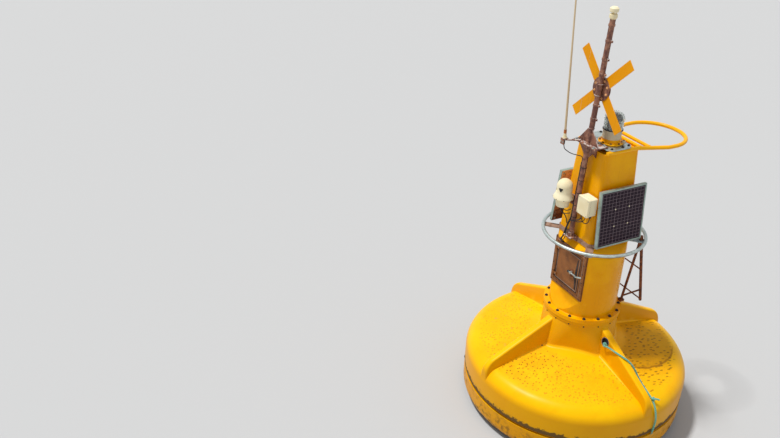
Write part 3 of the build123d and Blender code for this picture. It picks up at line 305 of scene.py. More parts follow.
class Graph:
    """A material's node tree, with a short call for each kind of node."""

    def __init__(self, name: str) -> None:
        """Starts a material with a principled shader joined to its output."""
        self.material = bpy.data.materials.new(name)
        self.material.use_nodes = True
        self.tree = self.material.node_tree
        self.tree.nodes.clear()
        self.output = self.tree.nodes.new("ShaderNodeOutputMaterial")
        self.shader = self.tree.nodes.new("ShaderNodeBsdfPrincipled")
        self.tree.links.new(self.shader.outputs[0], self.output.inputs[0])
        self.place = self.tree.nodes.new("ShaderNodeTexCoord").outputs["Object"]
        self.normal: Socket | None = None

    def put(self, target: Socket, value: Any) -> None:
        """Joins a socket to an input, or writes a plain value in it."""
        if isinstance(value, bpy.types.NodeSocket):
            self.tree.links.new(value, target)
        else:
            target.default_value = value

    def node(self, kind: str, inputs: dict[Any, Any], out: Any = 0, **settings: Any) -> Socket:
        """A node with its settings and inputs.

        Args:
            kind: the node's type.
            inputs: value or socket for each input's name or number.
            out: name or number of the output that is wanted.
            settings: the node's own properties.

        Returns:
            The output socket.
        """
        made = self.tree.nodes.new(kind)
        for key, value in settings.items():
            setattr(made, key, value)
        for key, value in inputs.items():
            self.put(made.inputs[key], value)
        return made.outputs[out]

    def stretched(self, scale: Sequence[float]) -> Socket:
        """Object coordinates with each axis multiplied."""
        return self.node("ShaderNodeMapping", {"Vector": self.place, "Scale": tuple(scale)})

    def noise(self, scale: float, detail: float = 4.0, rough: float = 0.55,
              vector: Socket | None = None) -> Socket:
        """Fractal noise from 0 to 1."""
        return self.node("ShaderNodeTexNoise",
                         {"Vector": vector or self.place, "Scale": scale, "Detail": detail,
                                                "Roughness": rough})

    def cells(self, scale: float, vector: Socket | None = None, flat: bool = False) -> Socket:
        """Distance to the nearest of scattered points, in their spacing; flat ones lie in X and Y."""
        return self.node("ShaderNodeTexVoronoi", {"Vector": vector or self.place, "Scale": scale}, "Distance",
                         voronoi_dimensions="2D" if flat else "3D")

    def band(self, value: Socket, low: float, high: float) -> Socket:
        """Nought below one value and one above the other, smoothly; the other way where low is above high."""
        return self.node("ShaderNodeMapRange", {"Value": value, "From Min": low, "From Max": high},
                         interpolation_type="SMOOTHSTEP")

    def math(self, operation: str, first: Any, second: Any = 0.0, third: Any = 0.0) -> Socket:
        """One arithmetic step."""
        return self.node("ShaderNodeMath", {0: first, 1: second, 2: third}, operation=operation)

    def times(self, *values: Any) -> Socket:
        """The product of several masks."""
        product = values[0]
        for value in values[1:]:
            product = self.math("MULTIPLY", product, value)
        return product

    def mix(self, share: Any, first: Any, second: Any) -> Socket:
        """A colour between two, by a share."""
        made = self.tree.nodes.new("ShaderNodeMix")
        made.data_type = "RGBA"
        self.put(made.inputs[0], share)
        self.put(made.inputs[6], first)
        self.put(made.inputs[7], second)
        return made.outputs[2]

    def over(self, base: Any, mask: Any, colour: Colour) -> Socket:
        """A colour laid over what there is, where a mask is high."""
        return self.mix(mask, base, tint(*colour))

    def axis(self, name: str) -> Socket:
        """One of the object coordinates: X, Y or Z."""
        return self.node("ShaderNodeSeparateXYZ", {0: self.place}, name)

    def facing(self, name: str) -> Socket:
        """One component of the surface's own normal."""
        geometry = self.node("ShaderNodeNewGeometry", {}, "Normal")
        return self.node("ShaderNodeSeparateXYZ", {0: geometry}, name)

    def reach(self) -> Socket:
        """Distance from the Z axis: the square root of X squared plus Y squared."""
        x, y = self.axis("X"), self.axis("Y")
        return self.math("SQRT", self.math("ADD", self.math("MULTIPLY", x, x), self.math("MULTIPLY", y, y)))

    def bump(self, height: Socket, depth: float, strength: float = 1.0) -> None:
        """Adds relief of a depth in metres to what there is."""
        inputs = {"Height": height, "Distance": depth, "Strength": strength}
        if self.normal is not None:
            inputs["Normal"] = self.normal
        self.normal = self.node("ShaderNodeBump", inputs)

    def done(self, **inputs: Any) -> bpy.types.Material:
        """Writes the shader's inputs, underscores for spaces, and hands over the material."""
        for key, value in inputs.items():
            self.put(self.shader.inputs[key.replace("_", " ")], value)
        if self.normal is not None:
            self.put(self.shader.inputs["Normal"], self.normal)
        return self.material


@dataclass(frozen=True)
class Plastic:
    """Moulded or glass-fibre plastic: mottled colour, faint orange peel, dust and stains that run down."""

    colour: Colour
    worn: Colour
    stain: Colour = (120, 78, 40)
    stains: float = 0.35
    rough: float = 0.42
    peel: float = 0.0006
    mottle: float = 3.0
    shine: float = 0.22

    def build(self, name: str) -> bpy.types.Material:
        """The material: two noises mix colour and wear, and a stretched one draws the runs."""
        g = Graph(name)
        wear = g.band(g.noise(self.mottle, 6.0, 0.6), 0.38, 0.72)
        colour = g.mix(wear, tint(*self.colour), tint(*self.worn))
        runs = g.noise(6.0, 5.0, 0.6, g.stretched((9.0, 9.0, 0.7)))
        spots = g.noise(28.0, 3.0, 0.7)
        mask = g.times(g.band(runs, 0.56, 0.78), g.band(spots, 0.35, 0.65), self.stains)
        colour = g.over(colour, mask, self.stain)
        g.bump(g.noise(160.0, 2.0), self.peel, 0.5)
        g.bump(g.noise(9.0, 2.0), 0.004, 0.25)
        rough = g.math("MULTIPLY_ADD", wear, 0.14, self.rough)
        return g.done(Base_Color=colour, Roughness=rough, Specular_IOR_Level=self.shine)


@dataclass(frozen=True)
class FloatPlastic:
    """The float's moulded plastic: speckled deck pads, painted shade on the side wall and next to the -90
    rib, a painted shadow on the right sector, growth at the seam.
    """

    colour: Colour = (250, 182, 0)
    faded: Colour = (255, 196, 0)
    shade: Colour = (232, 156, 0)
    speckle: Colour = (132, 86, 8)
    fleck: Colour = (196, 104, 20)
    pink: Colour = (226, 148, 78)
    growth: Colour = (74, 58, 40)
    deck_edge: float = 1.02
    deck_inner: float = 0.46
    growth_levels: tuple[float, float] = (0.40, 0.30)
    # wall is the colour of the painted shade on the float's side wall.
    wall: Colour = (214, 142, 0)
    contact: float = 0.272
    # Painted shadow on the right sector: its colour, the colour of the guard ring's painted shadow line along
    # its edge, and where that curved edge lies.
    tower_shadow: Colour = (204, 140, 0)
    ring_shadow: Colour = (158, 100, 8)
    shadow_edge: tuple[float, float] = (0.757, 0.43)

    def build(self, name: str) -> bpy.types.Material:
        """The material: the pads lie where the surface looks up between two radii, by normal and reach."""
        g = Graph(name)
        fade = g.band(g.noise(1.6, 5.0, 0.6), 0.35, 0.68)
        colour = g.mix(fade, tint(*self.colour), tint(*self.faded))
        colour = g.over(colour, g.times(g.band(g.noise(5.0, 6.0, 0.65), 0.52, 0.8), 0.5), self.shade)
        reach = g.reach()
        pad = g.times(g.band(reach, self.deck_inner, self.deck_inner + 0.08),
                      g.band(reach, self.deck_edge + 0.03, self.deck_edge - 0.04),
                      g.band(g.facing("Z"), 0.90, 0.95))
        x, y = g.axis("X"), g.axis("Y")
        right = g.times(pad, g.band(x, 0.0, 0.05), g.band(y, 0.0, 0.05))
        front = g.times(pad, g.band(y, 0.0, -0.05))
        dashes = g.node("ShaderNodeMapping",
                        {"Vector": g.place, "Rotation": (0.0, 0.0, 0.8), "Scale": (1.0, 0.42, 1.0)})
        rows = g.times(right, g.band(g.cells(27.0, dashes, True), 0.27, 0.16),
                       g.band(g.noise(4.0, 2.0), 0.30, 0.46))
        dots = g.times(front, g.band(g.cells(21.0, None, True), 0.19, 0.11),
                       g.band(g.noise(3.4, 2.0), 0.30, 0.46))
        fine = g.times(pad, g.band(g.cells(45.0, None, True), 0.20, 0.12),
                       g.band(g.noise(6.0, 2.0), 0.40, 0.60))
        # Next to the -90 rib on the front sector the deck is darkened: painted shade, joined to the noise
        # stains over the front sector.
        rib_shade = g.times(front, g.band(x, 0.0, 0.08), g.band(x, 0.55, 0.15))
        stains_and_rib_shade = g.times(front, g.band(g.noise(3.2, 4.0, 0.6), 0.52, 0.74), g.band(x, -0.1, 0.1))
        stains_and_rib_shade = g.math("MAXIMUM", stains_and_rib_shade, g.times(rib_shade, g.band(g.noise(7.0, 4.0, 0.6), 0.34, 0.62)))
        # Where the normal is near level, on the side wall, the colour goes towards the wall colour: painted
        # shade.
        wall_shade = g.times(g.band(g.facing("Z"), 0.62, 0.10), 0.55)
        colour = g.over(colour, wall_shade, self.wall)
        patches = g.times(pad, g.band(x, 0.0, -0.1), g.band(g.noise(15.0, 4.0, 0.65), 0.62, 0.70))
        # The stains and the painted shade next to the rib take the darker tone.
        colour = g.over(colour, g.times(stains_and_rib_shade, 0.55), self.shade)
        # A painted shadow of the tower and panels darkens the right sector up to a curved edge, and the guard
        # ring's painted shadow runs along that edge as a dark line.
        off = g.math("SUBTRACT", y, self.shadow_edge[1])
        edge = g.math("MULTIPLY_ADD", off, off, g.math("MULTIPLY_ADD", g.noise(9.0, 3.0), 0.05, x))
        rim = self.shadow_edge[0]
        colour = g.over(colour, g.times(right, g.band(edge, rim + 0.018, rim - 0.004), 0.6), self.tower_shadow)
        line = g.times(right, g.band(edge, rim - 0.014, rim), g.band(edge, rim + 0.024, rim + 0.010), 0.7)
        colour = g.over(colour, line, self.ring_shadow)
        colour = g.over(colour, g.times(fine, 0.50), self.fleck)
        colour = g.over(colour, g.times(dots, 0.60), self.fleck)
        # Darker speckle dots next to the rib: real speckles, deepened there as painted shade.
        colour = g.over(colour, g.times(dots, rib_shade, 0.75), self.speckle)
        bold = g.math("MULTIPLY_ADD", g.noise(30.0, 2.0), 0.9, 0.2)
        colour = g.over(colour, g.times(rows, bold), self.speckle)
        colour = g.over(colour, g.times(patches, 0.8), self.pink)
        low = g.band(g.axis("Z"), *self.growth_levels)
        growth = g.times(low, g.band(g.noise(14.0, 6.0, 0.7), 0.46, 0.66), 0.85)
        ragged = g.math("MULTIPLY_ADD", g.noise(16.0, 6.0, 0.7), -0.16, g.axis("Z"))
        growth = g.math("MAXIMUM", growth, g.times(g.band(ragged, self.contact + 0.014, self.contact), 0.9))
        colour = g.over(colour, growth, self.growth)
        raised = g.math("MAXIMUM", rows, g.math("MAXIMUM", dots, fine))
        g.bump(g.math("MAXIMUM", g.times(pad, g.noise(180.0, 2.0), 0.4), raised), 0.0016, 0.7)
        g.bump(g.noise(60.0, 3.0), 0.0006, 0.4)
        g.bump(g.noise(3.0, 2.0), 0.012, 0.25)
        rough = g.math("MULTIPLY_ADD", pad, 0.2, 0.34)
        return g.done(Base_Color=colour, Roughness=g.math("MULTIPLY_ADD", growth, 0.3, rough),
                      Specular_IOR_Level=0.12)


@dataclass(frozen=True)
class RustedSteel:
    """Painted or bare steel that has rusted through: flakes of two browns, pitted."""

    colour: Colour = (134, 82, 60)
    dark: Colour = (84, 48, 38)
    light: Colour = (168, 112, 84)
    rough: float = 0.78
    flakes: float = 16.0
    zinc: Colour = (204, 196, 190)
    zinc_left: float = 0.0
    shine: float = 0.25
    # A paler colour laid on above a height, as painted light, and that height.
    painted_light: Colour | None = None
    painted_light_level: float = 0.0
    run: float = 1.0

    def build(self, name: str) -> bpy.types.Material:
        """The material: coarse noise picks the brown, fine noise the pits and the pale edges."""
        g = Graph(name)
        coarse = g.noise(self.flakes, 6.0, 0.65)
        colour = g.mix(g.band(coarse, 0.40, 0.62), tint(*self.dark), tint(*self.colour))
        # Pale flakes; a small run stretches them into vertical streaks, which on the mast stand for pale rust
        # and a painted highlight both.
        pale = g.noise(self.flakes * 2.6, 5.0, 0.7, g.stretched((1.0, 1.0, self.run)))
        colour = g.over(colour, g.band(pale, 0.55, 0.72), self.light)
        left = g.times(g.band(g.noise(23.0, 5.0, 0.6), 0.44, 0.53), g.band(g.facing("Z"), 0.2, 0.7),
                       self.zinc_left)
        colour = g.over(colour, left, self.zinc)
        # Above a height the pale flakes take a paler colour: painted light.
        if self.painted_light:
            raised = g.times(g.band(g.axis("Z"), self.painted_light_level - 0.14, self.painted_light_level + 0.14),
                             g.band(pale, 0.25, 0.55))
            colour = g.over(colour, raised, self.painted_light)
        pits = g.noise(self.flakes * 14, 4.0, 0.7)
        g.bump(coarse, 0.0022, 0.7)
        g.bump(pits, 0.0010, 0.8)
        return g.done(Base_Color=colour, Roughness=g.math("MULTIPLY_ADD", pits, 0.2, self.rough - 0.1),
                      Specular_IOR_Level=self.shine)


@dataclass(frozen=True)
class Galvanised:
    """Zinc-coated or bare bright steel and aluminium: spangle, dull film and a little rust bleed."""

    colour: Colour = (196, 208, 206)
    film: Colour = (150, 158, 152)
    rust: Colour = (132, 88, 58)
    rusty: float = 0.25
    metallic: float = 0.75
    rough: float = 0.36
    # A grey-blue tone laid over the parts at the +X +Y corner.
    corner_tone: Colour | None = None
    # Share of painted shade, in the rust colour, on faces that look down.
    underside_shade: float = 0.0

    def build(self, name: str) -> bpy.types.Material:
        """The material: cells give the spangle, noise the film and the rust, the normal the painted shade
        below.
        """
        g = Graph(name)
        spangle = g.cells(90.0)
        colour = g.mix(g.times(spangle, 0.5), tint(*self.colour), tint(*self.film))
        colour = g.over(colour, g.band(g.noise(12.0, 5.0, 0.6), 0.45, 0.7), self.film)
        rust = g.times(g.band(g.noise(22.0, 6.0, 0.7), 0.56, 0.70), self.rusty)
        colour = g.over(colour, rust, self.rust)
        # Over the +X +Y corner, where the guard ring's arm is, the colour goes grey-blue.
        if self.corner_tone:
            corner = g.times(g.band(g.axis("X"), 0.20, 0.26), g.band(g.axis("Y"), 0.20, 0.26))
            colour = g.over(colour, corner, self.corner_tone)
        # Faces that look down take the rust colour: painted shade under the tubes.
        if self.underside_shade:
            below = g.times(g.band(g.facing("Z"), 0.05, -0.55), self.underside_shade)
            colour = g.over(colour, below, self.rust)
        g.bump(g.noise(70.0, 3.0), 0.0006, 0.5)
        rough = g.math("MULTIPLY_ADD", g.noise(30.0, 3.0), 0.25, self.rough - 0.1)
        return g.done(Base_Color=colour, Metallic=self.metallic, Roughness=rough)


@dataclass(frozen=True)
class Rubber:
    """Black rubber, cable sheath or seal."""

    colour: Colour = (30, 22, 30)
    dust: Colour = (92, 78, 74)

    def build(self, name: str) -> bpy.types.Material:
        """The material: dusty where a noise is high."""
        g = Graph(name)
        dust = g.times(g.band(g.noise(40.0, 5.0, 0.65), 0.48, 0.72), 0.45)
        g.bump(g.noise(220.0, 2.0), 0.0004, 0.4)
        return g.done(Base_Color=g.mix(dust, tint(*self.colour), tint(*self.dust)),
                      Roughness=g.math("MULTIPLY_ADD", dust, 0.3, 0.45))


@dataclass(frozen=True)
class Fibre:
    """Laid rope: yarns run along the strands by the piece's own UV map."""

    colour: Colour = (132, 214, 192)
    deep: Colour = (62, 138, 128)

    def build(self, name: str) -> bpy.types.Material:
        """The material: fine lines along the strand from a stretched noise on the UV map."""
        g = Graph(name)
        chart = g.node("ShaderNodeUVMap", {}, "UV", uv_map="strand")
        lines = g.noise(26.0, 3.0, 0.6,
                        g.node("ShaderNodeMapping", {"Vector": chart, "Scale": (2.0, 0.6, 1.0)}))
        dirt = g.band(g.noise(18.0, 5.0, 0.6), 0.5, 0.75)
        colour = g.mix(g.band(lines, 0.35, 0.68), tint(*self.deep), tint(*self.colour))
        colour = g.mix(g.times(dirt, 0.4), colour, tint(170, 190, 150))
        g.bump(lines, 0.0008, 0.9)
        return g.done(Base_Color=colour, Roughness=0.7, Sheen_Weight=0.3)


@dataclass(frozen=True)
class Glass:
    """Clear or tinted glass and polycarbonate with a film of salt."""

    colour: Colour = (232, 236, 232)
    clear: float = 0.9
    rough: float = 0.08

    def build(self, name: str) -> bpy.types.Material:
        """The material: transmission with salt spots that roughen it."""
        g = Graph(name)
        salt = g.band(g.noise(30.0, 4.0, 0.6), 0.60, 0.85)
        g.bump(g.noise(20.0, 2.0), 0.0003, 0.3)
        return g.done(Base_Color=g.mix(g.times(salt, 0.5), tint(*self.colour), tint(235, 235, 226)),
                      Transmission_Weight=self.clear, IOR=1.45,
                      Roughness=g.math("MULTIPLY_ADD", salt, 0.3, self.rough))


FINISHES: dict[str, Any] = {
    "hull_yellow": FloatPlastic(),
    "hull_fouled": FloatPlastic(colour=(236, 166, 0), faded=(242, 178, 6), shade=(172, 116, 22),
                                growth_levels=(0.34, 0.12),
                               contact=0.0),
    "tower_yellow": Plastic((240, 164, 0), (250, 182, 0), stain=(150, 84, 20), rough=0.24, peel=0.0003,
                            shine=0.12),
    "loop_yellow": Plastic((250, 176, 0), (255, 188, 0), stain=(140, 84, 30), rough=0.3),
    "keel_steel": RustedSteel((70, 60, 58), (46, 40, 40), (100, 84, 74)),
    "hatch_bronze": RustedSteel((146, 94, 50), (126, 80, 44), (168, 114, 68), 0.6, 6.0),
    "pin_steel": Galvanised((182, 184, 180), rusty=0.4),
    # Galvanised parts carry painted shade on their undersides.
    "galvanised": Galvanised((206, 218, 216), rust=(108, 78, 66), rough=0.40, underside_shade=0.8),
    # The band steel's last colour is the grey-blue tone at the +X +Y corner.
    "band_steel": Galvanised((172, 140, 120), (142, 108, 88), (104, 66, 48), 0.7, 0.15, 0.6, (150, 168, 176)),
    "panel_alu": Galvanised((172, 192, 184), (136, 148, 138), (120, 84, 60), 0.35, 0.45, 0.42),
    "panel_glass": Plastic((36, 20, 34), (48, 30, 44), stains=0.1, rough=0.2, peel=0.0, shine=0.12),
    # The panel steel goes paler above about 2.2 m: painted light, meant for the panel backs in shade.
    "panel_steel": RustedSteel((138, 82, 52), (92, 52, 38), (168, 110, 72), painted_light=(240, 184, 128),
                               painted_light_level=2.22),
    "lantern_cream": Plastic((200, 184, 152), (214, 200, 172), stain=(140, 96, 62), rough=0.45),
    "lantern_clear": Glass(),
    "seal_black": Rubber(),
    "core_grey": Galvanised((126, 108, 116), (106, 88, 96), (104, 62, 50), 0.3, 0.1, 0.5),
    # The mast's pale vertical streaks are pale rust and a painted highlight both.
    "mast_rust": RustedSteel((158, 108, 84), (104, 62, 52), (214, 172, 136), 0.58, zinc_left=0.9, shine=0.5,
                             run=0.14),
    "topmark_yellow": Plastic((232, 152, 0), (240, 164, 0), stain=(130, 76, 30), stains=0.6, rough=0.5,
                              shine=0.12),
    "cream_plastic": Plastic((248, 238, 204), (234, 218, 174), stain=(180, 144, 96), rough=0.42),
    "black_plastic": Rubber((18, 16, 18), (54, 46, 44)),
    "whip_cream": Plastic((222, 198, 160), (206, 180, 140), stain=(150, 112, 72), rough=0.4),
    "ferrule_brown": RustedSteel((196, 112, 50), (146, 78, 38), (214, 142, 84), 0.5),
    "cable_black": Rubber(),
    "rope_green": Fibre(),
}


class Shop:
    """Keeps the materials and turns forms into finished pieces."""

    def __init__(self) -> None:
        """Builds each finish once, under the record's slot name, and knows each node's slot."""
        self.materials = {slot: finish.build(slot) for slot, finish in FINISHES.items()}
        self.slots = {row["node"]: row["material_slot"] for row in frame["record"]["subparts"]}

    def dress_nodes(self) -> None:
        """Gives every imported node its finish, and smooth shading across gentle edges."""
        soften = self.soften_group()
        for name, node in frame["nodes"].items():
            node.data.materials.clear()
            node.data.materials.append(self.materials[self.slots[name]])
            modifier = node.modifiers.new("soften", "NODES")
            modifier.node_group = soften

    @staticmethod
    def soften_group() -> bpy.types.GeometryNodeTree:
        """Geometry nodes that merge a node's loose triangles and shade it smooth below an edge angle."""
        group = bpy.data.node_groups.new("soften", "GeometryNodeTree")
        group.interface.new_socket("Geometry", in_out="INPUT", socket_type="NodeSocketGeometry")
        group.interface.new_socket("Geometry", in_out="OUTPUT", socket_type="NodeSocketGeometry")
        nodes, links = group.nodes, group.links
        entry, leave = nodes.new("NodeGroupInput"), nodes.new("NodeGroupOutput")
        merge = nodes.new("GeometryNodeMergeByDistance")
        merge.inputs["Distance"].default_value = 1e-5
        angle = nodes.new("GeometryNodeInputMeshEdgeAngle")
        gentle = nodes.new("FunctionNodeCompare")
        gentle.operation = "LESS_THAN"
        gentle.inputs[1].default_value = GENTLE_EDGE
        faces, edges = nodes.new("GeometryNodeSetShadeSmooth"), nodes.new("GeometryNodeSetShadeSmooth")
        faces.domain, edges.domain = "FACE", "EDGE"
        links.new(entry.outputs[0], merge.inputs[0])
        links.new(merge.outputs[0], faces.inputs[0])
        links.new(faces.outputs[0], edges.inputs[0])
        links.new(angle.outputs["Unsigned Angle"], gentle.inputs[0])
        links.new(gentle.outputs[0], edges.inputs["Shade Smooth"])
        links.new(edges.outputs[0], leave.inputs[0])
        return group

    def piece(self, name: str, form: Form, slot: str, body: Body = Body.BUOY, stands_for: Sequence[str] = (),
              crease: float = 32.0) -> bpy.types.Object:
        """A finished piece in place.

        Args:
            name: its plain name.
            form: its surface.
            slot: its material slot.
            body: the body that it rides on.
            stands_for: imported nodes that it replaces.
            crease: edge angle in degrees above which the shading breaks.

        Returns:
            The object, at the origin.
        """
        mesh = bpy.data.meshes.new(name)
        mesh.from_pydata(form.points.tolist(), [], form.faces)
        mesh.validate()
        made = bpy.data.objects.new(name, mesh)
        bpy.context.scene.collection.objects.link(made)
        self.close_up(mesh)
        mesh.shade_smooth()
        mesh.set_sharp_from_angle(angle=math.radians(crease))
        return self.fit(made, slot, body, stands_for)

    @staticmethod
    def close_up(mesh: bpy.types.Mesh) -> None:
        """Merges the points that lie together at seams and poles and turns the faces outwards."""
        work = bmesh.new()
        work.from_mesh(mesh)
        bmesh.ops.remove_doubles(work, verts=work.verts, dist=SEAM)
        bmesh.ops.recalc_face_normals(work, faces=work.faces)
        work.to_mesh(mesh)
        work.free()

    def fit(self, made: bpy.types.Object, slot: str, body: Body,
            stands_for: Sequence[str] = ()) -> bpy.types.Object:
        """Gives an object its finish and body, and what it stands for."""
        made.data.materials.clear()
        made.data.materials.append(self.materials[slot])
        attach(made, body.value)
        if stands_for:
            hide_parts(*stands_for)
        log.info("%s: %s on %s", made.name, slot, body.value)
        return made


@dataclass
class Studio:
    """Pale floor, soft daylight and the camera at the photograph's angle."""

    eye: Point = (5.21, -4.945, 5.856)
    right: Point = (0.443948, 0.895641, 0.027150)
    up: Point = (-0.441709, 0.192382, 0.876289)
    forward: Point = (-0.779617, 0.401019, -0.481020)
    lens: float = 36.92
    floor_half: float = 300.0
    sky_light: float = 0.48
    backdrop: float = 0.73
    floor_colour: Colour = (190, 191, 192)

    def build(self) -> None:
        """Makes the camera first, then the floor, the sky and the lamps."""
        self.camera()
        self.floor()
        self.sky()
        self.lamp("sun", (-0.265, -0.45, 1.30), 2.9, 6.0, (1.0, 0.985, 0.96))
        bpy.context.scene.view_settings.view_transform = "Standard"

    def camera(self) -> None:
        """The camera's axes are the solved right, up and backward directions."""
        lens = bpy.data.cameras.new("view")
        lens.sensor_width = 36.0
        lens.lens = self.lens
        lens.clip_end = 900.0
        camera = bpy.data.objects.new("view", lens)
        back = tuple(-x for x in self.forward)
        turn = Matrix((self.right, self.up, back)).transposed().to_4x4()
        camera.matrix_world = Matrix.Translation(self.eye) @ turn
        bpy.context.scene.collection.objects.link(camera)
        bpy.context.scene.camera = camera

    def floor(self) -> None:
        """A flat pale floor just under the float."""
        mesh = bpy.data.meshes.new("floor")
        half = self.floor_half
        corners = [(x, y, -FLOOR_GAP) for x,
                   y in ((-half, -half), (half, -half), (half, half), (-half, half))]
        mesh.from_pydata(corners, [], [(0, 1, 2, 3)])
        floor = bpy.data.objects.new("floor", mesh)
        bpy.context.scene.collection.objects.link(floor)
        g = Graph("floor")
        mesh.materials.append(g.done(Base_Color=tint(*self.floor_colour), Roughness=0.9))

    def sky(self) -> None:
        """An even pale sky that lights softly, and is a plain backdrop to the camera and in reflections."""
        world = bpy.data.worlds.new("sky")
        world.use_nodes = True
        nodes, links = world.node_tree.nodes, world.node_tree.links
        background = nodes["Background"]
        background.inputs["Color"].default_value = (0.97, 0.98, 1.0, 1.0)
        sight = nodes.new("ShaderNodeLightPath")
        seen, through = nodes.new("ShaderNodeMath"), nodes.new("ShaderNodeMath")
        seen.operation = through.operation = "MAXIMUM"
        links.new(sight.outputs["Is Camera Ray"], seen.inputs[0])
        links.new(sight.outputs["Is Transmission Ray"], seen.inputs[1])
        links.new(seen.outputs[0], through.inputs[0])
        links.new(sight.outputs["Is Glossy Ray"], through.inputs[1])
        strength = nodes.new("ShaderNodeMix")
        links.new(through.outputs[0], strength.inputs[0])
        strength.inputs[2].default_value, strength.inputs[3].default_value = self.sky_light, self.backdrop
        links.new(strength.outputs[0], background.inputs["Strength"])
        bpy.context.scene.world = world

    def lamp(self, name: str, toward: Point, strength: float, spread: float, colour: Point) -> None:
        """A sun lamp that shines from a direction.

        Args:
            name: the lamp's name.
            toward: direction from the object to the lamp.
            strength: its strength.
            spread: its angle in degrees, which softens the shadows.
            colour: its colour.
        """
        light = bpy.data.lights.new(name, "SUN")
        light.energy = strength
        light.angle = math.radians(spread)
        light.color = colour
        lamp = bpy.data.objects.new(name, light)
        lamp.rotation_mode = "QUATERNION"
        lamp.rotation_quaternion = Vector(toward).to_track_quat("Z", "Y")
        bpy.context.scene.collection.objects.link(lamp)


def smooth_line(route: Sequence[Point], steps: int) -> Array:
    """Points of a route's smooth line, as Blender evaluates it with no bevel."""
    curve = bpy.data.curves.new("route", "CURVE")
    curve.dimensions = "3D"
    spline = curve.splines.new("NURBS")
    spline.points.add(len(route) - 1)
    spline.points.foreach_set("co", np.column_stack([route, np.ones(len(route))]).ravel())
    spline.order_u = 3
    spline.use_endpoint_u = True
    spline.resolution_u = steps
    carrier = bpy.data.objects.new("route", curve)
    bpy.context.scene.collection.objects.link(carrier)
    mesh = bpy.data.meshes.new_from_object(carrier)
    points = np.array([v.co for v in mesh.vertices], float)
    bpy.data.objects.remove(carrier)
    bpy.data.meshes.remove(mesh)
    return points


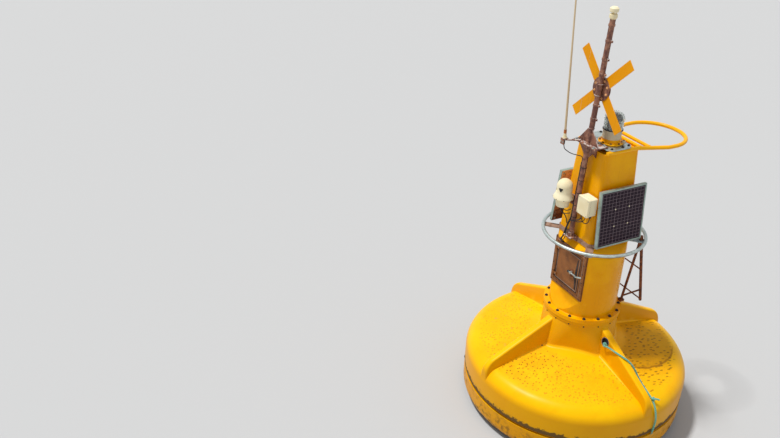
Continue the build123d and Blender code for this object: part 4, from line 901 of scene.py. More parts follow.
@dataclass
class Rope:
    """Three-strand rope from its knot in the rib's hole, over the rib, across the deck and down the wall."""

    radius: float = 0.009
    lay: float = 0.066
    strands: int = 3
    sides: int = 10
    yarns: int = 11
    side_knot: Point = (1.080, 0.100, 0.684)
    route: list[Point] = field(default_factory=lambda: [
        (0.484, -0.066, 0.967), (0.488, -0.094, 0.974), (0.545, -0.072, 0.985), (0.620, -0.053, 0.975),
        (0.700, -0.020, 0.961), (0.762, 0.024, 0.931), (0.802, 0.062, 0.870), (0.852, 0.094, 0.777),
        (0.908, 0.112, 0.717), (1.003, 0.106, 0.689), (1.072, 0.097, 0.671), (1.133, 0.090, 0.624),
        (1.167, 0.096, 0.520), (1.162, 0.108, 0.420), (1.157, 0.099, 0.330)])

    @staticmethod
    def evened(points: Array, step: float) -> tuple[Array, Array]:
        """The line at even steps: each coordinate interpolated over the length run so far."""
        run = np.concatenate([[0.0], np.cumsum(np.linalg.norm(np.diff(points, axis=0), axis=1))])
        stations = np.linspace(0, run[-1], int(run[-1] / step) + 1)
        return np.stack([np.interp(stations, run, points[:, k]) for k in range(3)], -1), stations

    def strand_lines(self, path: Array, run: Array) -> list[Array]:
        """Each strand's own line: the path plus a turning offset, one turn for each lay length."""
        ahead = np.gradient(path, axis=0)
        ahead /= np.linalg.norm(ahead, axis=1, keepdims=True)
        side = np.cross(ahead, [0.31, 0.22, 0.93])
        side /= np.linalg.norm(side, axis=1, keepdims=True)
        rise = np.cross(side, ahead)
        offset = self.radius * 0.46
        lines = []
        for k in range(self.strands):
            angle = (2 * math.pi * (run / self.lay + k / self.strands))[:, None]
            lines.append(path + offset * (np.cos(angle) * side + np.sin(angle) * rise))
        return lines

    def laid(self, path: Array, run: Array) -> Form:
        """The strands of a stretch of rope."""
        outline = circle(self.radius * 0.56, self.sides)
        return joined([carried(line, outline, (0.31, 0.22, 0.93)) for line in self.strand_lines(path, run)])

    @staticmethod
    def overhand(centre: Sequence[float], size: float, tube: float, facing: Sequence[float]) -> Form:
        """A tube along the closed line sin t + 2 sin 2t, cos t - 2 cos 2t, -1.3 sin 3t, times a size."""
        t = np.linspace(0, 2 * math.pi, 72, endpoint=False)
        line = size * np.stack([np.sin(t) + 2 * np.sin(2 * t), np.cos(t) - 2 * np.cos(2 * t),
                                -1.3 * np.sin(3 * t)], -1)
        twist = 1 + 0.10 * np.sin(27 * t)
        knot = carried(line, circle(tube, 10), (0.05, 0.09, 1.0), twist, ring=True)
        return knot.moved(frame_at(centre, facing))

    def tail(self) -> Form:
        """The side knot's short tail, curving away over the shoulder."""
        share = np.linspace(0, 1, 24)[:, None]
        start = np.array(self.side_knot)
        reach, drop = np.array([0.030, 0.052, 0.004]), np.array([0.0, 0.0, -0.014])
        path, run = self.evened(start + share * reach + share ** 2 * drop, 0.003)
        return self.laid(path, run)

    def fray(self, end: Array) -> Form:
        """Loose yarns at the rope's end: each bows out from the end by its own share."""
        share = np.linspace(0, 1, 8)[:, None]
        yarns = []
        for k in range(self.yarns):
            turn = k * 2.4
            spread = (0.003 + 0.0016 * (k % 4)) * np.array([0.3, math.cos(turn), 0.0])
            length = 0.024 + 0.004 * (k % 5)
            root = end + 0.0035 * np.array([math.sin(turn), math.cos(turn), 0.0])
            path = root + share * [0.0, 0.0, -length] + share ** 2 * spread * 3
            yarns.append(carried(path, circle(0.0011, 5), (0.6, 0.8, 0.0), np.linspace(1, 0.6, 8)))
        return joined(yarns)

    def build(self, shop: Shop) -> None:
        path, run = self.evened(smooth_line(self.route, 24), 0.003)
        rope = shop.piece("rope_laid", self.laid(path, run), "rope_green", stands_for=["rope"], crease=70)
        self.chart(rope, len(path))
        low, high = span("rope_knot")
        knot = self.overhand((low + high) / 2, 0.0062, 0.0085, (0.1, -1.0, 0.3))
        shop.piece("rope_stopper", knot, "rope_green", stands_for=["rope_knot"], crease=70)
        side = self.overhand(self.side_knot, 0.0046, 0.0080, (0.6, 0.2, 0.8)) + self.tail()
        shop.piece("rope_side_knot", side, "rope_green", crease=70)
        shop.piece("rope_fray", self.fray(path[-1]), "rope_green", crease=70)
        log.info("rope is %.3f m long", run[-1])

    @staticmethod
    def chart(rope: bpy.types.Object, stations: int) -> None:
        """A UV map that runs along and round each strand, from each point's number in its grid."""
        mesh, sides = rope.data, Rope.sides
        layer = mesh.uv_layers.new(name="strand")
        index = np.empty(len(mesh.loops), np.int32)
        mesh.loops.foreach_get("vertex_index", index)
        chart = np.stack([index % sides / sides, index // sides % stations * 0.03], -1)
        layer.data.foreach_set("uv", chart.astype(np.float32).ravel())


def span(name: str) -> tuple[Array, Array]:
    """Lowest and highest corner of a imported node."""
    mesh = frame["nodes"][name].data
    points = np.empty(len(mesh.vertices) * 3)
    mesh.vertices.foreach_get("co", points)
    points = points.reshape(-1, 3)
    return points.min(0), points.max(0)


def landing(name: str, start: Sequence[float], toward: Sequence[float]) -> Array:
    """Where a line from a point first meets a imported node."""
    struck, place, _, _ = frame["nodes"][name].ray_cast(Vector(start), Vector(toward))
    return np.array(place) if struck else np.asarray(start, float)


def circle_of(radius: float, height: float, azimuths: Array, centre: Sequence[float] = (0.0, 0.0)) -> Array:
    """Matrices that stand a form upright on a circle, its X away from the centre.

    Args:
        radius, height: the circle's size and level.
        azimuths: where the copies stand, in degrees.
        centre: the circle's centre.

    Returns:
        One matrix each: a turn by the azimuth and a shift of radius times its cosine and sine.
    """
    angle = np.radians(np.asarray(azimuths, float))
    matrices = np.tile(np.eye(4), (len(angle), 1, 1))
    matrices[:, 0, 0] = matrices[:, 1, 1] = np.cos(angle)
    matrices[:, 1, 0], matrices[:, 0, 1] = np.sin(angle), -np.sin(angle)
    matrices[:, 0, 3] = centre[0] + radius * np.cos(angle)
    matrices[:, 1, 3] = centre[1] + radius * np.sin(angle)
    matrices[:, 2, 3] = height
    return matrices


def around(count: int, first: float = 0.0) -> Array:
    """Even azimuths in degrees."""
    return first + np.arange(count) * 360 / count


def on_face(points: Sequence[Sequence[float]], outward: Sequence[float], spins: Array | None = None) -> Array:
    """Matrices that stand a form on each point, all facing one way."""
    turns = np.zeros(len(points)) if spins is None else spins
    return np.stack([frame_at(point, outward, float(turn)) for point, turn in zip(points, turns)])


def outward_ring(radius: float, height: float, azimuths: Array) -> Array:
    """Matrices that stand a form on an upright cylinder's side, facing away from its axis."""
    upright = np.eye(4)
    upright[:3, :3] = [[0, 0, 1], [0, 1, 0], [-1, 0, 0]]
    return circle_of(radius, height, azimuths) @ upright


def ring_of(profile: Array, turns: int = 96) -> Form:
    """A closed ring: its section goes round once and ends where it starts."""
    return lathe(np.vstack([profile, profile[:1]]), turns)


def cove(wall: float, floor: float, radius: float, depth: float, steps: int) -> Array:
    """Section of a hollow fillet between a wall and a floor: a quarter arc, closed by two points behind them.

    Args:
        wall: radius of the wall.
        floor: height of the floor.
        radius: the arc's radius.
        depth: how far the section goes into the wall.
        steps: points of the arc.

    Returns:
        Radius and height of each point.
    """
    curve = arc((wall + radius, floor + radius), radius, 180, 270, steps)
    return np.vstack([curve, [(wall - depth, floor - 0.001), (wall - depth, floor + radius)]])


def weld(path: Array, radius: float, ring: bool = False) -> Form:
    """A weld bead: a round section that swells and thins by a sine along the path."""
    path = np.asarray(path, float)
    swell = 1 + 0.16 * np.sin(np.arange(len(path)) * 2.1)
    return carried(path, circle(radius, 8), (0.13, 0.21, 0.97), swell, ring=ring)


def between(start: Sequence[float], end: Sequence[float], steps: int) -> Array:
    """Even points from one place to another."""
    return np.linspace(np.asarray(start, float), np.asarray(end, float), steps)


def screw(radius: float, height: float) -> Form:
    """A low domed screw head with a drive recess."""
    return lathe([(0, height * 0.5), (radius * 0.34, height * 0.5), (radius * 0.40, height * 0.96),
                  (radius * 0.72, height * 0.86), (radius * 0.94, height * 0.5), (radius, 0), (0, 0)], 14)


@dataclass
class MastLine:
    """The raked mast's axis, from its two ends."""

    low: Point = (0.015, -0.302, 2.044)
    high: Point = (0.027, -0.218, 4.135)
    radius: float = 0.025

    def at(self, height: float) -> Array:
        """The axis at a height: a straight share of the way from the low to the high end."""
        low, high = np.array(self.low), np.array(self.high)
        return low + (height - low[2]) / (high[2] - low[2]) * (high - low)

    def along(self) -> Array:
        """The axis's direction."""
        step = np.array(self.high) - np.array(self.low)
        return step / np.linalg.norm(step)

    def ring(self, height: float, profile: Array, turns: int = 40) -> Form:
        """A closed ring about the mast at a height."""
        return ring_of(profile, turns).moved(frame_at(self.at(height), self.along()))


@dataclass
class Float:
    """Small fittings of the float: neck studs, the lip's sealant, drain plugs and the rope hole's black
    liner, which paints the shade inside the hole.
    """

    lip_radius: float = 0.386
    lip_level: float = 1.164
    neck_radius: float = 0.3755
    stud_level: float = 1.117
    stud_count: int = 16
    stud_first: float = -34.3
    hole: Point = (0.472, 0.0, 0.985)
    hole_radius: float = 0.045
    hole_gap: float = 0.003
    rib_drain: Point = (0.0646, -0.4969, 0.8070)
    rib_drain_faces: Point = (0.684, -0.172, 0.709)
    wall: float = 1.151
    drain_level: float = 0.36
    drain_azimuths: tuple[float, ...] = (-120.0, -30.0, 60.0, 150.0)

    def build(self, shop: Shop) -> None:
        """Makes the studs, the sealant, the plugs and the liner."""
        studs = hex_bolt(0.0065, 0.009, 0.009).repeated(
            outward_ring(self.neck_radius, self.stud_level, around(self.stud_count, self.stud_first)))
        shop.piece("neck_studs", studs, "keel_steel")
        angle = np.radians(around(120))
        wave = 0.0006 * np.sin(angle * 17) + 0.0004 * np.sin(angle * 41)
        reach = self.lip_radius + 0.001 + wave
        line = np.stack([reach * np.cos(angle), reach * np.sin(angle), np.full(len(angle), self.lip_level)],
                        -1)
        shop.piece("lip_sealant", weld(line, 0.003, ring=True), "lantern_cream")
        plug = lathe([(0, 0), (0.016, 0), (0.016, 0.002), (0.011, 0.003), (0.010, 0.007), (0, 0.008)], 24)
        turns = np.radians(self.drain_azimuths)
        drains = [(self.wall * math.cos(a), self.wall * math.sin(a), self.drain_level) for a in turns]
        places = np.stack([frame_at(p, (p[0], p[1], 0.0)) for p in drains])
        shop.piece("drain_plugs", plug.repeated(places), "black_plastic")
        small = plug.moved(np.diag([0.55, 0.55, 0.55, 1.0]))
        spot = frame_at(self.rib_drain, self.rib_drain_faces)
        shop.piece("rib_plug", small.moved(spot), "black_plastic")
        self.hole_shade_liner(shop)

    def mouth(self, wider: float, side: int) -> Array:
        """The rope hole's outline, widened, on one face of the rib: two half circles apart by the gap."""
        angle = np.radians(around(48))
        centre_x, centre_z = self.hole[0], self.hole[2]
        half = np.sign(np.sin(angle) + 1e-9)
        x = centre_x + (self.hole_radius + wider) * np.cos(angle)
        z = centre_z + (self.hole_radius + wider) * np.sin(angle) + self.hole_gap * half
        outer = 1 + 0.004 / self.hole_radius
        starts = [(centre_x + (a - centre_x) * outer, side * 0.3, centre_z + (b - centre_z) * outer)
                  for a, b in zip(x, z)]
        far = [landing("hull_upper", start, (0, -side, 0))[1] for start in starts]
        return np.column_stack([x, far, z])

    def hole_shade_liner(self, shop: Shop) -> None:
        """A dark rubber tube through the rib's rope hole, black as painted shade inside it, and a grey lip
        round each of its mouths.
        """
        rings = [self.mouth(wider, side) for wider,
                 side in ((0.0005, -1), (0.0005, 1), (-0.0035, 1), (-0.0035, -1))]
        tube = Form(np.stack(rings), grid_faces(4, 48, round_rows=True, round_columns=True))
        shop.piece("hole_shade_liner", tube, "seal_black")
        bead = circle(0.0042, 8)
        lips = [carried(self.mouth(0.0, side), bead, (0.0, 1.0, 0.0), ring=True) for side in (-1, 1)]
        shop.piece("hole_lips", joined(lips), "core_grey")


@dataclass
class Tower:
    """Flange bolts, the cove at the drum's foot and the joint line under the flange."""

    flange_top: float = 1.200
    bolt_circle: float = 0.3655
    bolt_count: int = 16
    bolt_first: float = 212.0
    drum: float = 0.338
    flange: float = 0.391

    def build(self, shop: Shop) -> None:
        """Makes the bolts, the cove and the joint line."""
        bolt = hex_bolt(0.0130, 0.0115, 0.0175)
        places = circle_of(self.bolt_circle, self.flange_top, around(self.bolt_count, self.bolt_first))
        shop.piece("flange_bolts", bolt.repeated(places), "keel_steel")
        shop.piece("drum_cove", ring_of(cove(self.drum, self.flange_top, 0.006, 0.003, 6)), "tower_yellow")
        inner, outer = self.flange - 0.003, self.flange + 0.0006
        joint = np.array([(inner, 1.1650), (outer, 1.1650), (outer, 1.1625), (inner, 1.1625)])
        shop.piece("flange_joint", ring_of(joint), "tower_yellow")


@dataclass
class Hatch:
    """Screws, gasket, pale beads as painted highlights, dark beads and a dark strip as painted shade, and the
    lock of the hatch.
    """

    half_width: float = 0.237
    half_height: float = 0.258
    centre: float = 1.645
    frame_front: float = -0.258
    door_front: float = -0.260
    border: float = 0.040
    screw_inset: float = 0.0145
    wall: float = -0.240
    grip: Point = (0.186, -0.295, 1.6513)
    grip_along: Point = (0.918, 0.0, 0.397)
    knob: Point = (0.052, -0.280, 1.637)
    recess: tuple[tuple[float, float], ...] = (
        (0.134, -0.176), (0.155, -0.176), (0.148, -0.020), (0.143, 0.166), (0.130, 0.166), (0.112, -0.020))

    def outline(self, inset_by: float, depth: float, corner: float = 0.004) -> Array:
        """Points of a rectangle round the hatch, drawn in from its frame's edge, at a depth."""
        loop = rounded_rectangle(2 * (self.half_width - inset_by), 2 * (self.half_height - inset_by), corner)
        return np.column_stack([loop[:, 0], np.full(len(loop), depth), loop[:, 1] + self.centre])

    def line(self, inset_by: float, depth: float, radius: float) -> Form:
        """A half-round bead along such a rectangle."""
        return carried(self.outline(inset_by, depth), circle(radius, 10), (0.0, 1.0, 0.0), ring=True)

    def build(self, shop: Shop) -> None:
        """Makes the frame's and the door's small parts."""
        w, h = self.half_width - self.screw_inset, self.half_height - self.screw_inset
        sides = [(s * w, self.frame_front, self.centre + z) for s in (-1, 1) for z in np.linspace(-h, h, 6)]
        rows = [(x, self.frame_front, self.centre + s * h) for s in (-1, 1)
                for x in np.linspace(-w, w, 6)[1:-1]]
        shop.piece("frame_screws", screw(0.0065, 0.004).repeated(on_face(sides + rows, FRONT)), "keel_steel")
        shop.piece("frame_sealant", self.line(-0.002, self.wall, 0.0045), "panel_steel")
        shop.piece("hatch_gasket", self.line(self.border + 0.0012, self.wall - 0.006, 0.0022), "seal_black")
        # A pale bead round the frame's inner edge: painted highlight.
        shop.piece("frame_highlight_line", self.line(0.029, self.frame_front, 0.0036), "band_steel")
        shop.piece("frame_shadow", self.line(self.border - 0.0015, self.frame_front + 0.0016, 0.0034),
                   "seal_black")
        self.door(shop)

    def on_door(self, x: float, z: float, proud: float = 0.0) -> Array:
        """The matrix that stands a form on the door's face."""
        return frame_at((x, self.door_front - proud, z), FRONT)

    def door(self, shop: Shop) -> None:
        """The door's pale bead as a painted highlight, a dark bead and a dark strip as painted shade of its
        gap and recess, the lever's plate, nut, sleeve and knob, the lock and hinge screws.
        """
        # A pale bead round the door's raised edge: painted highlight.
        shop.piece("door_highlight_line", self.line(self.border + 0.034, self.door_front, 0.0036), "band_steel",
                   Body.HATCH)
        # A dark bead just inside it: painted shade of the gap by the door's raised edge.
        shop.piece("door_gap_shade", self.line(self.border + 0.024, self.door_front + 0.0014, 0.0060),
                   "keel_steel", Body.HATCH)
        # A dark strip on the door: painted shade in its recess.
        recess = slab(np.array(self.recess), 0.0, 0.0016, 0.0006)
        shop.piece("door_recess_shade", recess.moved(self.on_door(0.0, self.centre)), "keel_steel", Body.HATCH)
        plate = slab(rounded_rectangle(0.046, 0.088, 0.021), 0.0, 0.004, 0.0012)
        shop.piece("handle_plate", plate.moved(self.on_door(0.070, 1.629)), "panel_steel", Body.HATCH)
        oval = slab(rounded_rectangle(0.024, 0.036, 0.0115), 0.0, 0.005, 0.0015)
        shop.piece("lock_cover", oval.moved(self.on_door(0.118, 1.598)), "black_plastic", Body.HATCH)
        collar = lathe([(0, 0.0262), (0.006, 0.0262), (0.0085, 0.0245), (0.0085, 0.0), (0, 0.0)], 6)
        shop.piece("handle_nut", collar.moved(self.on_door(0.070, 1.637, 0.004)), "pin_steel", Body.HATCH)
        grip = lathe([(0, -0.004), (0.007, -0.004), (0.0095, -0.001), (0.0105, 0.010), (0.0105, 0.052),
                      (0.009, 0.060), (0.005, 0.064), (0, 0.065)], 28)
        shop.piece("lever_grip", grip.moved(frame_at(self.grip, self.grip_along)), "galvanised", Body.HATCH)
        knob = lathe([(0, -0.002), (0.009, -0.002), (0.0125, 0.004), (0.0135, 0.012), (0.0115, 0.021),
                      (0.006, 0.026), (0, 0.027)], 28)
        shop.piece("lever_knob", knob.moved(frame_at(self.knob, (-1, 0, 0))), "black_plastic", Body.HATCH)
        points = [(-0.160, -0.2735, self.centre + z + d) for z in (-0.150, 0.150) for d in (-0.006, 0.006)]
        shop.piece("hinge_screws", screw(0.0035, 0.002).repeated(on_face(points, FRONT)), "pin_steel",
                   Body.HATCH)


@dataclass
class GuardRing:
    """Welds and bolts of the guard ring, its arms and its band."""

    radius: float = 0.495
    tube: float = 0.017
    level: float = 2.016
    arm_half: float = 0.037
    bolt_reach: float = 0.425
    wall: float = 0.2555
    band_level: float = 2.012
    corners: tuple[float, ...] = (-135.0, -45.0, 45.0, 135.0)

    def build(self, shop: Shop) -> None:
        """Makes the weld beads on the arms, the tube's butt welds and the band's bolts."""
        low = self.level - self.tube
        lines = [between((self.radius + d, -self.arm_half, low), (self.radius + d, self.arm_half, low), 26)
                 for d in (-0.010, 0.010)]
        beads = [weld(line, 0.0042) for line in lines]
        places = circle_of(0.0, 0.0, np.array(self.corners))
        shop.piece("ring_welds", joined(beads).repeated(places), "galvanised")
        butt = [(self.tube + 0.0002, -0.0025), (self.tube + 0.0016, 0.0), (self.tube + 0.0002, 0.0025),
                (self.tube - 0.002, 0.0)]
        upright = frame_at((0, 0, 0), (0, 1, 0))
        seam = ring_of(np.array(butt), 32).moved(upright)
        shop.piece("ring_seams", seam.repeated(circle_of(self.radius, self.level, np.array([-82.0, 98.0]))),
                   "galvanised")
        top = low - 0.0003
        head = hex_bolt(0.0080, 0.006, 0.011)
        nut = hex_bolt(0.0080, 0.008, 0.011).moved(UPSIDE_DOWN)
        forms = [form.repeated(circle_of(self.bolt_reach, height, np.array(self.corners) + turn))
                 for form, height in ((head, top), (nut, top - 0.010)) for turn in (-2.6, 2.6)]
        shop.piece("arm_bolts", joined(forms), "band_steel")
        self.band(shop)

    def band(self, shop: Shop) -> None:
        """Two bolts through the band on each face of the tower."""
        half = span("top_cap")[1][0]
        points = []
        for turn in np.radians([0, 90, 180, 270]):
            cosine, sine = math.cos(turn), math.sin(turn)
            for along in (-half * 0.55, half * 0.55):
                x, y = self.wall * cosine - along * sine, self.wall * sine + along * cosine
                points.append(((x, y, self.band_level), (cosine, sine, 0.0)))
        places = np.stack([frame_at(point, outward) for point, outward in points])
        shop.piece("band_bolts", hex_bolt(0.0085, 0.007, 0.012).repeated(places), "mast_rust")


@dataclass
class SolarPanel:
    """Cell lines, corner gaps, the seal, the frame's rivets and the back's bolts of one panel."""

    name: str
    azimuth: float
    face: float = 0.310
    shift: float = 0.020
    level: float = 2.325
    tilt: float = 5.4
    width: float = 0.542
    height: float = 0.572
    rim: float = 0.016
    glass: float = -0.003
    cells: int = 3
    bars: int = 4
    cuts: int = 5

    def place(self) -> Array:
        """The panel's own frame: X outwards, Y across, Z up its face."""
        spot = Matrix.Rotation(math.radians(self.azimuth), 4,
                               "Z") @ Matrix.Translation((self.face, self.shift, self.level))
        return np.array(spot @ Matrix.Rotation(math.radians(-self.tilt), 4, "Y"))

    def cell_field(self) -> tuple[float, float]:
        """Half the width and half the height that the cells cover."""
        return self.width / 2 - self.rim - 0.010, self.height / 2 - self.rim - 0.012

    def strips(self, upright: bool) -> Form:
        """Thin strips one way over the glass: fine ones inside each cell and wide ones between cells."""
        across, high = self.cell_field()
        reach, length, share = (across, high, self.bars) if upright else (high, across, self.cuts)
        forms = []
        for k in range(self.cells * share + 1):
            place = -reach + 2 * reach * k / (self.cells * share)
            wide = 0.0042 if k % share == 0 else 0.0030
            size = (0.0006, wide, 2 * length) if upright else (0.0006, 2 * length, wide)
            spot = (self.glass, place, 0.0) if upright else (self.glass + 0.0001, 0.0, place)
            forms.append(box(spot, size))
        return joined(forms)

    def build(self, shop: Shop) -> None:
        """Makes the lines, the pale corner gaps, the seal, the rivets and the bolts."""
        place = self.place()
        lines = (self.strips(True) + self.strips(False)).moved(place)
        shop.piece("cell_lines_" + self.name, lines, "core_grey")
        across, high = self.cell_field()
        diamond = slab(circle(0.0085, 4), 0.0, 0.0012, 0.0002)
        face = np.array(Matrix.Translation((self.glass, 0, 0)) @ Matrix.Rotation(math.radians(90), 4, "Y"))
        flat = diamond.moved(face)
        gaps = [flat.shifted((0, y * across / 3, z * high / 3)) for y in (-1, 1) for z in (-1, 1)]
        shop.piece("cell_gaps_" + self.name, joined(gaps).moved(place), "cream_plastic")
        inner = rounded_rectangle(self.width - 2 * self.rim, self.height - 2 * self.rim, 0.002, 3)
        path = np.column_stack([np.full(len(inner), self.glass), inner[:, 0], inner[:, 1]])
        seal = carried(path, circle(0.0022, 8), (1.0, 0.0, 0.0), ring=True)
        shop.piece("panel_seal_" + self.name, seal.moved(place), "seal_black")
        edge = (self.width - self.rim) / 2, (self.height - self.rim) / 2
        keys = [(0.0, y * edge[0], z * edge[1]) for y in (-1, 1) for z in (-1, 0, 1)]
        rivets = screw(0.0042, 0.0022).repeated(on_face(keys, (1, 0, 0))).moved(place)
        shop.piece("frame_rivets_" + self.name, rivets, "pin_steel")
        back = [(-0.0340, y * edge[0] * 0.92, z * edge[1] * 0.92) for y in (-1, 1) for z in (-1, 0, 1)]
        bolts = hex_bolt(0.0075, 0.006, 0.011).repeated(on_face(back, (-1, 0, 0))).moved(place)
        shop.piece("back_bolts_" + self.name, bolts, "pin_steel")


def box(centre: Sequence[float], size: Sequence[float]) -> Form:
    """A plain block about a centre: the eight corners are the centre plus or minus half the size."""
    signs = np.array([(x, y, z) for z in (-1, 1) for x, y in ((-1, -1), (1, -1), (1, 1), (-1, 1))])
    faces = [(0, 3, 2, 1), (4, 5, 6, 7), (0, 1, 5, 4), (1, 2, 6, 5), (2, 3, 7, 6), (3, 0, 4, 7)]
    return Form(np.asarray(centre) + signs * np.asarray(size) / 2, faces)


@dataclass
class TopGear:
    """Welds and bolts of the loop, the top plate and the mast's bracket."""

    cap_top: float = 2.942
    tube: float = 0.019
    offset: float = 0.015
    half_front: float = 0.200
    front: float = -0.196
    splay: float = 0.130
    rails: tuple[float, ...] = (0.190, 0.272)
    plate_top: float = 2.992
    bracket_top: float = 3.004

    def build(self, shop: Shop) -> None:
        """Makes the loop's welds and end plugs, and the bolts."""
        beads = []
        for side in (-1, 1):
            x = self.offset + side * self.half_front - side * 0.011
            beads.append(weld(between((x, self.front + 0.01, self.cap_top), (x, self.splay, self.cap_top),
                                      90), 0.0045))
        shop.piece("loop_welds", joined(beads), "tower_yellow", crease=60)
        outer = self.tube + 0.0004
        plug = lathe([(0, 0.0), (outer, 0.0), (outer, 0.002), (self.tube * 0.8, 0.004), (0, 0.005)], 28)
        ends = [(self.offset + s * self.half_front, self.front, self.cap_top + self.tube) for s in (-1, 1)]
        shop.piece("loop_plugs", plug.repeated(on_face(ends, FRONT)), "loop_yellow")
        self.rail_welds(shop)
        self.bolts(shop)

    def rail_welds(self, shop: Shop) -> None:
        """A bead round each end of the two cross rails."""
        z = self.cap_top + self.tube
        rings = []
        profile = np.array([(0.0172, -0.003), (0.0200, 0.0), (0.0172, 0.003), (0.0150, 0.0)])
        for y, reach in zip(self.rails, (0.194, 0.222)):
            for side in (-1, 1):
                rings.append(ring_of(profile,
                                     28).moved(frame_at((self.offset + side * reach, y, z), (side, 0, 0))))
        shop.piece("rail_welds", joined(rings), "loop_yellow", crease=60)

    def bolts(self, shop: Shop) -> None:
        """Bolts through the top plate and the bracket, with washers."""
        corners = [(x, y, self.plate_top) for x,
                   y in ((0.205, -0.145), (0.205, -0.02), (0.190, 0.062), (0.045, 0.075),
                                                       (-0.075, 0.070), (-0.170, 0.035), (-0.172, -0.06))]
        shop.piece("plate_bolts", hex_bolt(0.0095, 0.0085, 0.014).repeated(on_face(corners, UP)),
                   "keel_steel")
        feet = [(x, -0.176, self.bracket_top) for x in (-0.105, -0.040, 0.065, 0.130)]
        front = [(x, -0.302, self.bracket_top) for x in (-0.108, 0.138)]
        shop.piece("bracket_bolts", hex_bolt(0.0105, 0.009, 0.016).repeated(on_face(feet + front, UP)),
                   "galvanised")


@dataclass
class Lantern:
    """Bolts, foot, clamp band, prism rings and top disc of the marker light."""

    centre: tuple[float, float] = (0.067, -0.045)
    disc: float = 0.117
    disc_low: float = 3.0045
    disc_top: float = 3.0115
    knob: Point = (0.156, 0.027, 3.033)
    pedestal_top: float = 3.047
    base_top: float = 3.121
    lens_low: float = 3.131
    prism_rows: int = 14
    prism_step: float = 0.0062

    def build(self, shop: Shop) -> None:
        """Makes the light's small parts."""
        bolts = hex_bolt(0.0080, 0.006,
                         0.0105).repeated(circle_of(0.1000, self.disc_top, around(8, 4), self.centre))
        cap = hex_bolt(0.0060, 0.003).shifted(self.knob)
        shop.piece("lantern_bolts", bolts + cap, "keel_steel")
        low, top, edge = self.disc_low, self.disc_top, self.disc
        foot = [(0.079, low), (edge - 0.001, low), (edge, low + 0.001), (edge, top - 0.002),
                (edge - 0.002, top),
                (0.079, top)]
        shop.piece("lantern_foot", self.ring(foot, 72), "loop_yellow")
        shop.piece("pedestal_cove", self.ring(cove(0.080, self.disc_top, 0.004, 0.002, 5)), "loop_yellow")
        low = self.pedestal_top - 0.0005
        lip = [(0.080, low), (0.0885, low), (0.0885, self.pedestal_top + 0.006),
               (0.0860, self.pedestal_top + 0.008),
               (0.0840, self.pedestal_top + 0.006)]
        shop.piece("lantern_lip", self.ring(lip), "lantern_cream")
        level = self.base_top
        clamp = [(0.080, level - 0.003), (0.0922, level - 0.003), (0.0932, level - 0.002),
                 (0.0932, level + 0.0055),
                 (0.0922, level + 0.0065), (0.080, level + 0.0065)]
        shop.piece("lantern_clamp", self.ring(clamp), "lantern_cream")
        screws = screw(0.0035, 0.002).repeated(outward_ring(0.0858, level - 0.010, around(6, 20)))
        shop.piece("lantern_screws", screws.shifted((*self.centre, 0.0)), "pin_steel")
        self.prisms(shop)

    def ring(self, profile: Sequence[Sequence[float]] | Array, turns: int = 64) -> Form:
        """A closed ring about the light's own axis."""
        return ring_of(np.asarray(profile, float), turns).shifted((*self.centre, 0.0))

    def prisms(self, shop: Shop) -> None:
        """Stacked rings inside the lens, a saw-tooth section of prisms, and the dark disc above."""
        low = self.lens_low + 0.006
        tooth = np.array([(0.0765, low), (0.0795, low + self.prism_step * 0.5)])
        teeth = np.vstack([tooth + [0.0, self.prism_step * k] for k in range(self.prism_rows)])
        back = np.array([(0.0745, low + self.prism_rows * self.prism_step), (0.0745, low)])
        shop.piece("lens_prisms", self.ring(np.vstack([teeth, back]), 56), "lantern_clear", crease=12)
        disc = lathe([(0, 3.206), (0.062, 3.206), (0.070, 3.210), (0.072, 3.222), (0.068, 3.246),
                      (0.054, 3.266),
                      (0.030, 3.277), (0, 3.280)], 40)
        shop.piece("lantern_deck", disc.shifted((*self.centre, 0.0)), "keel_steel")


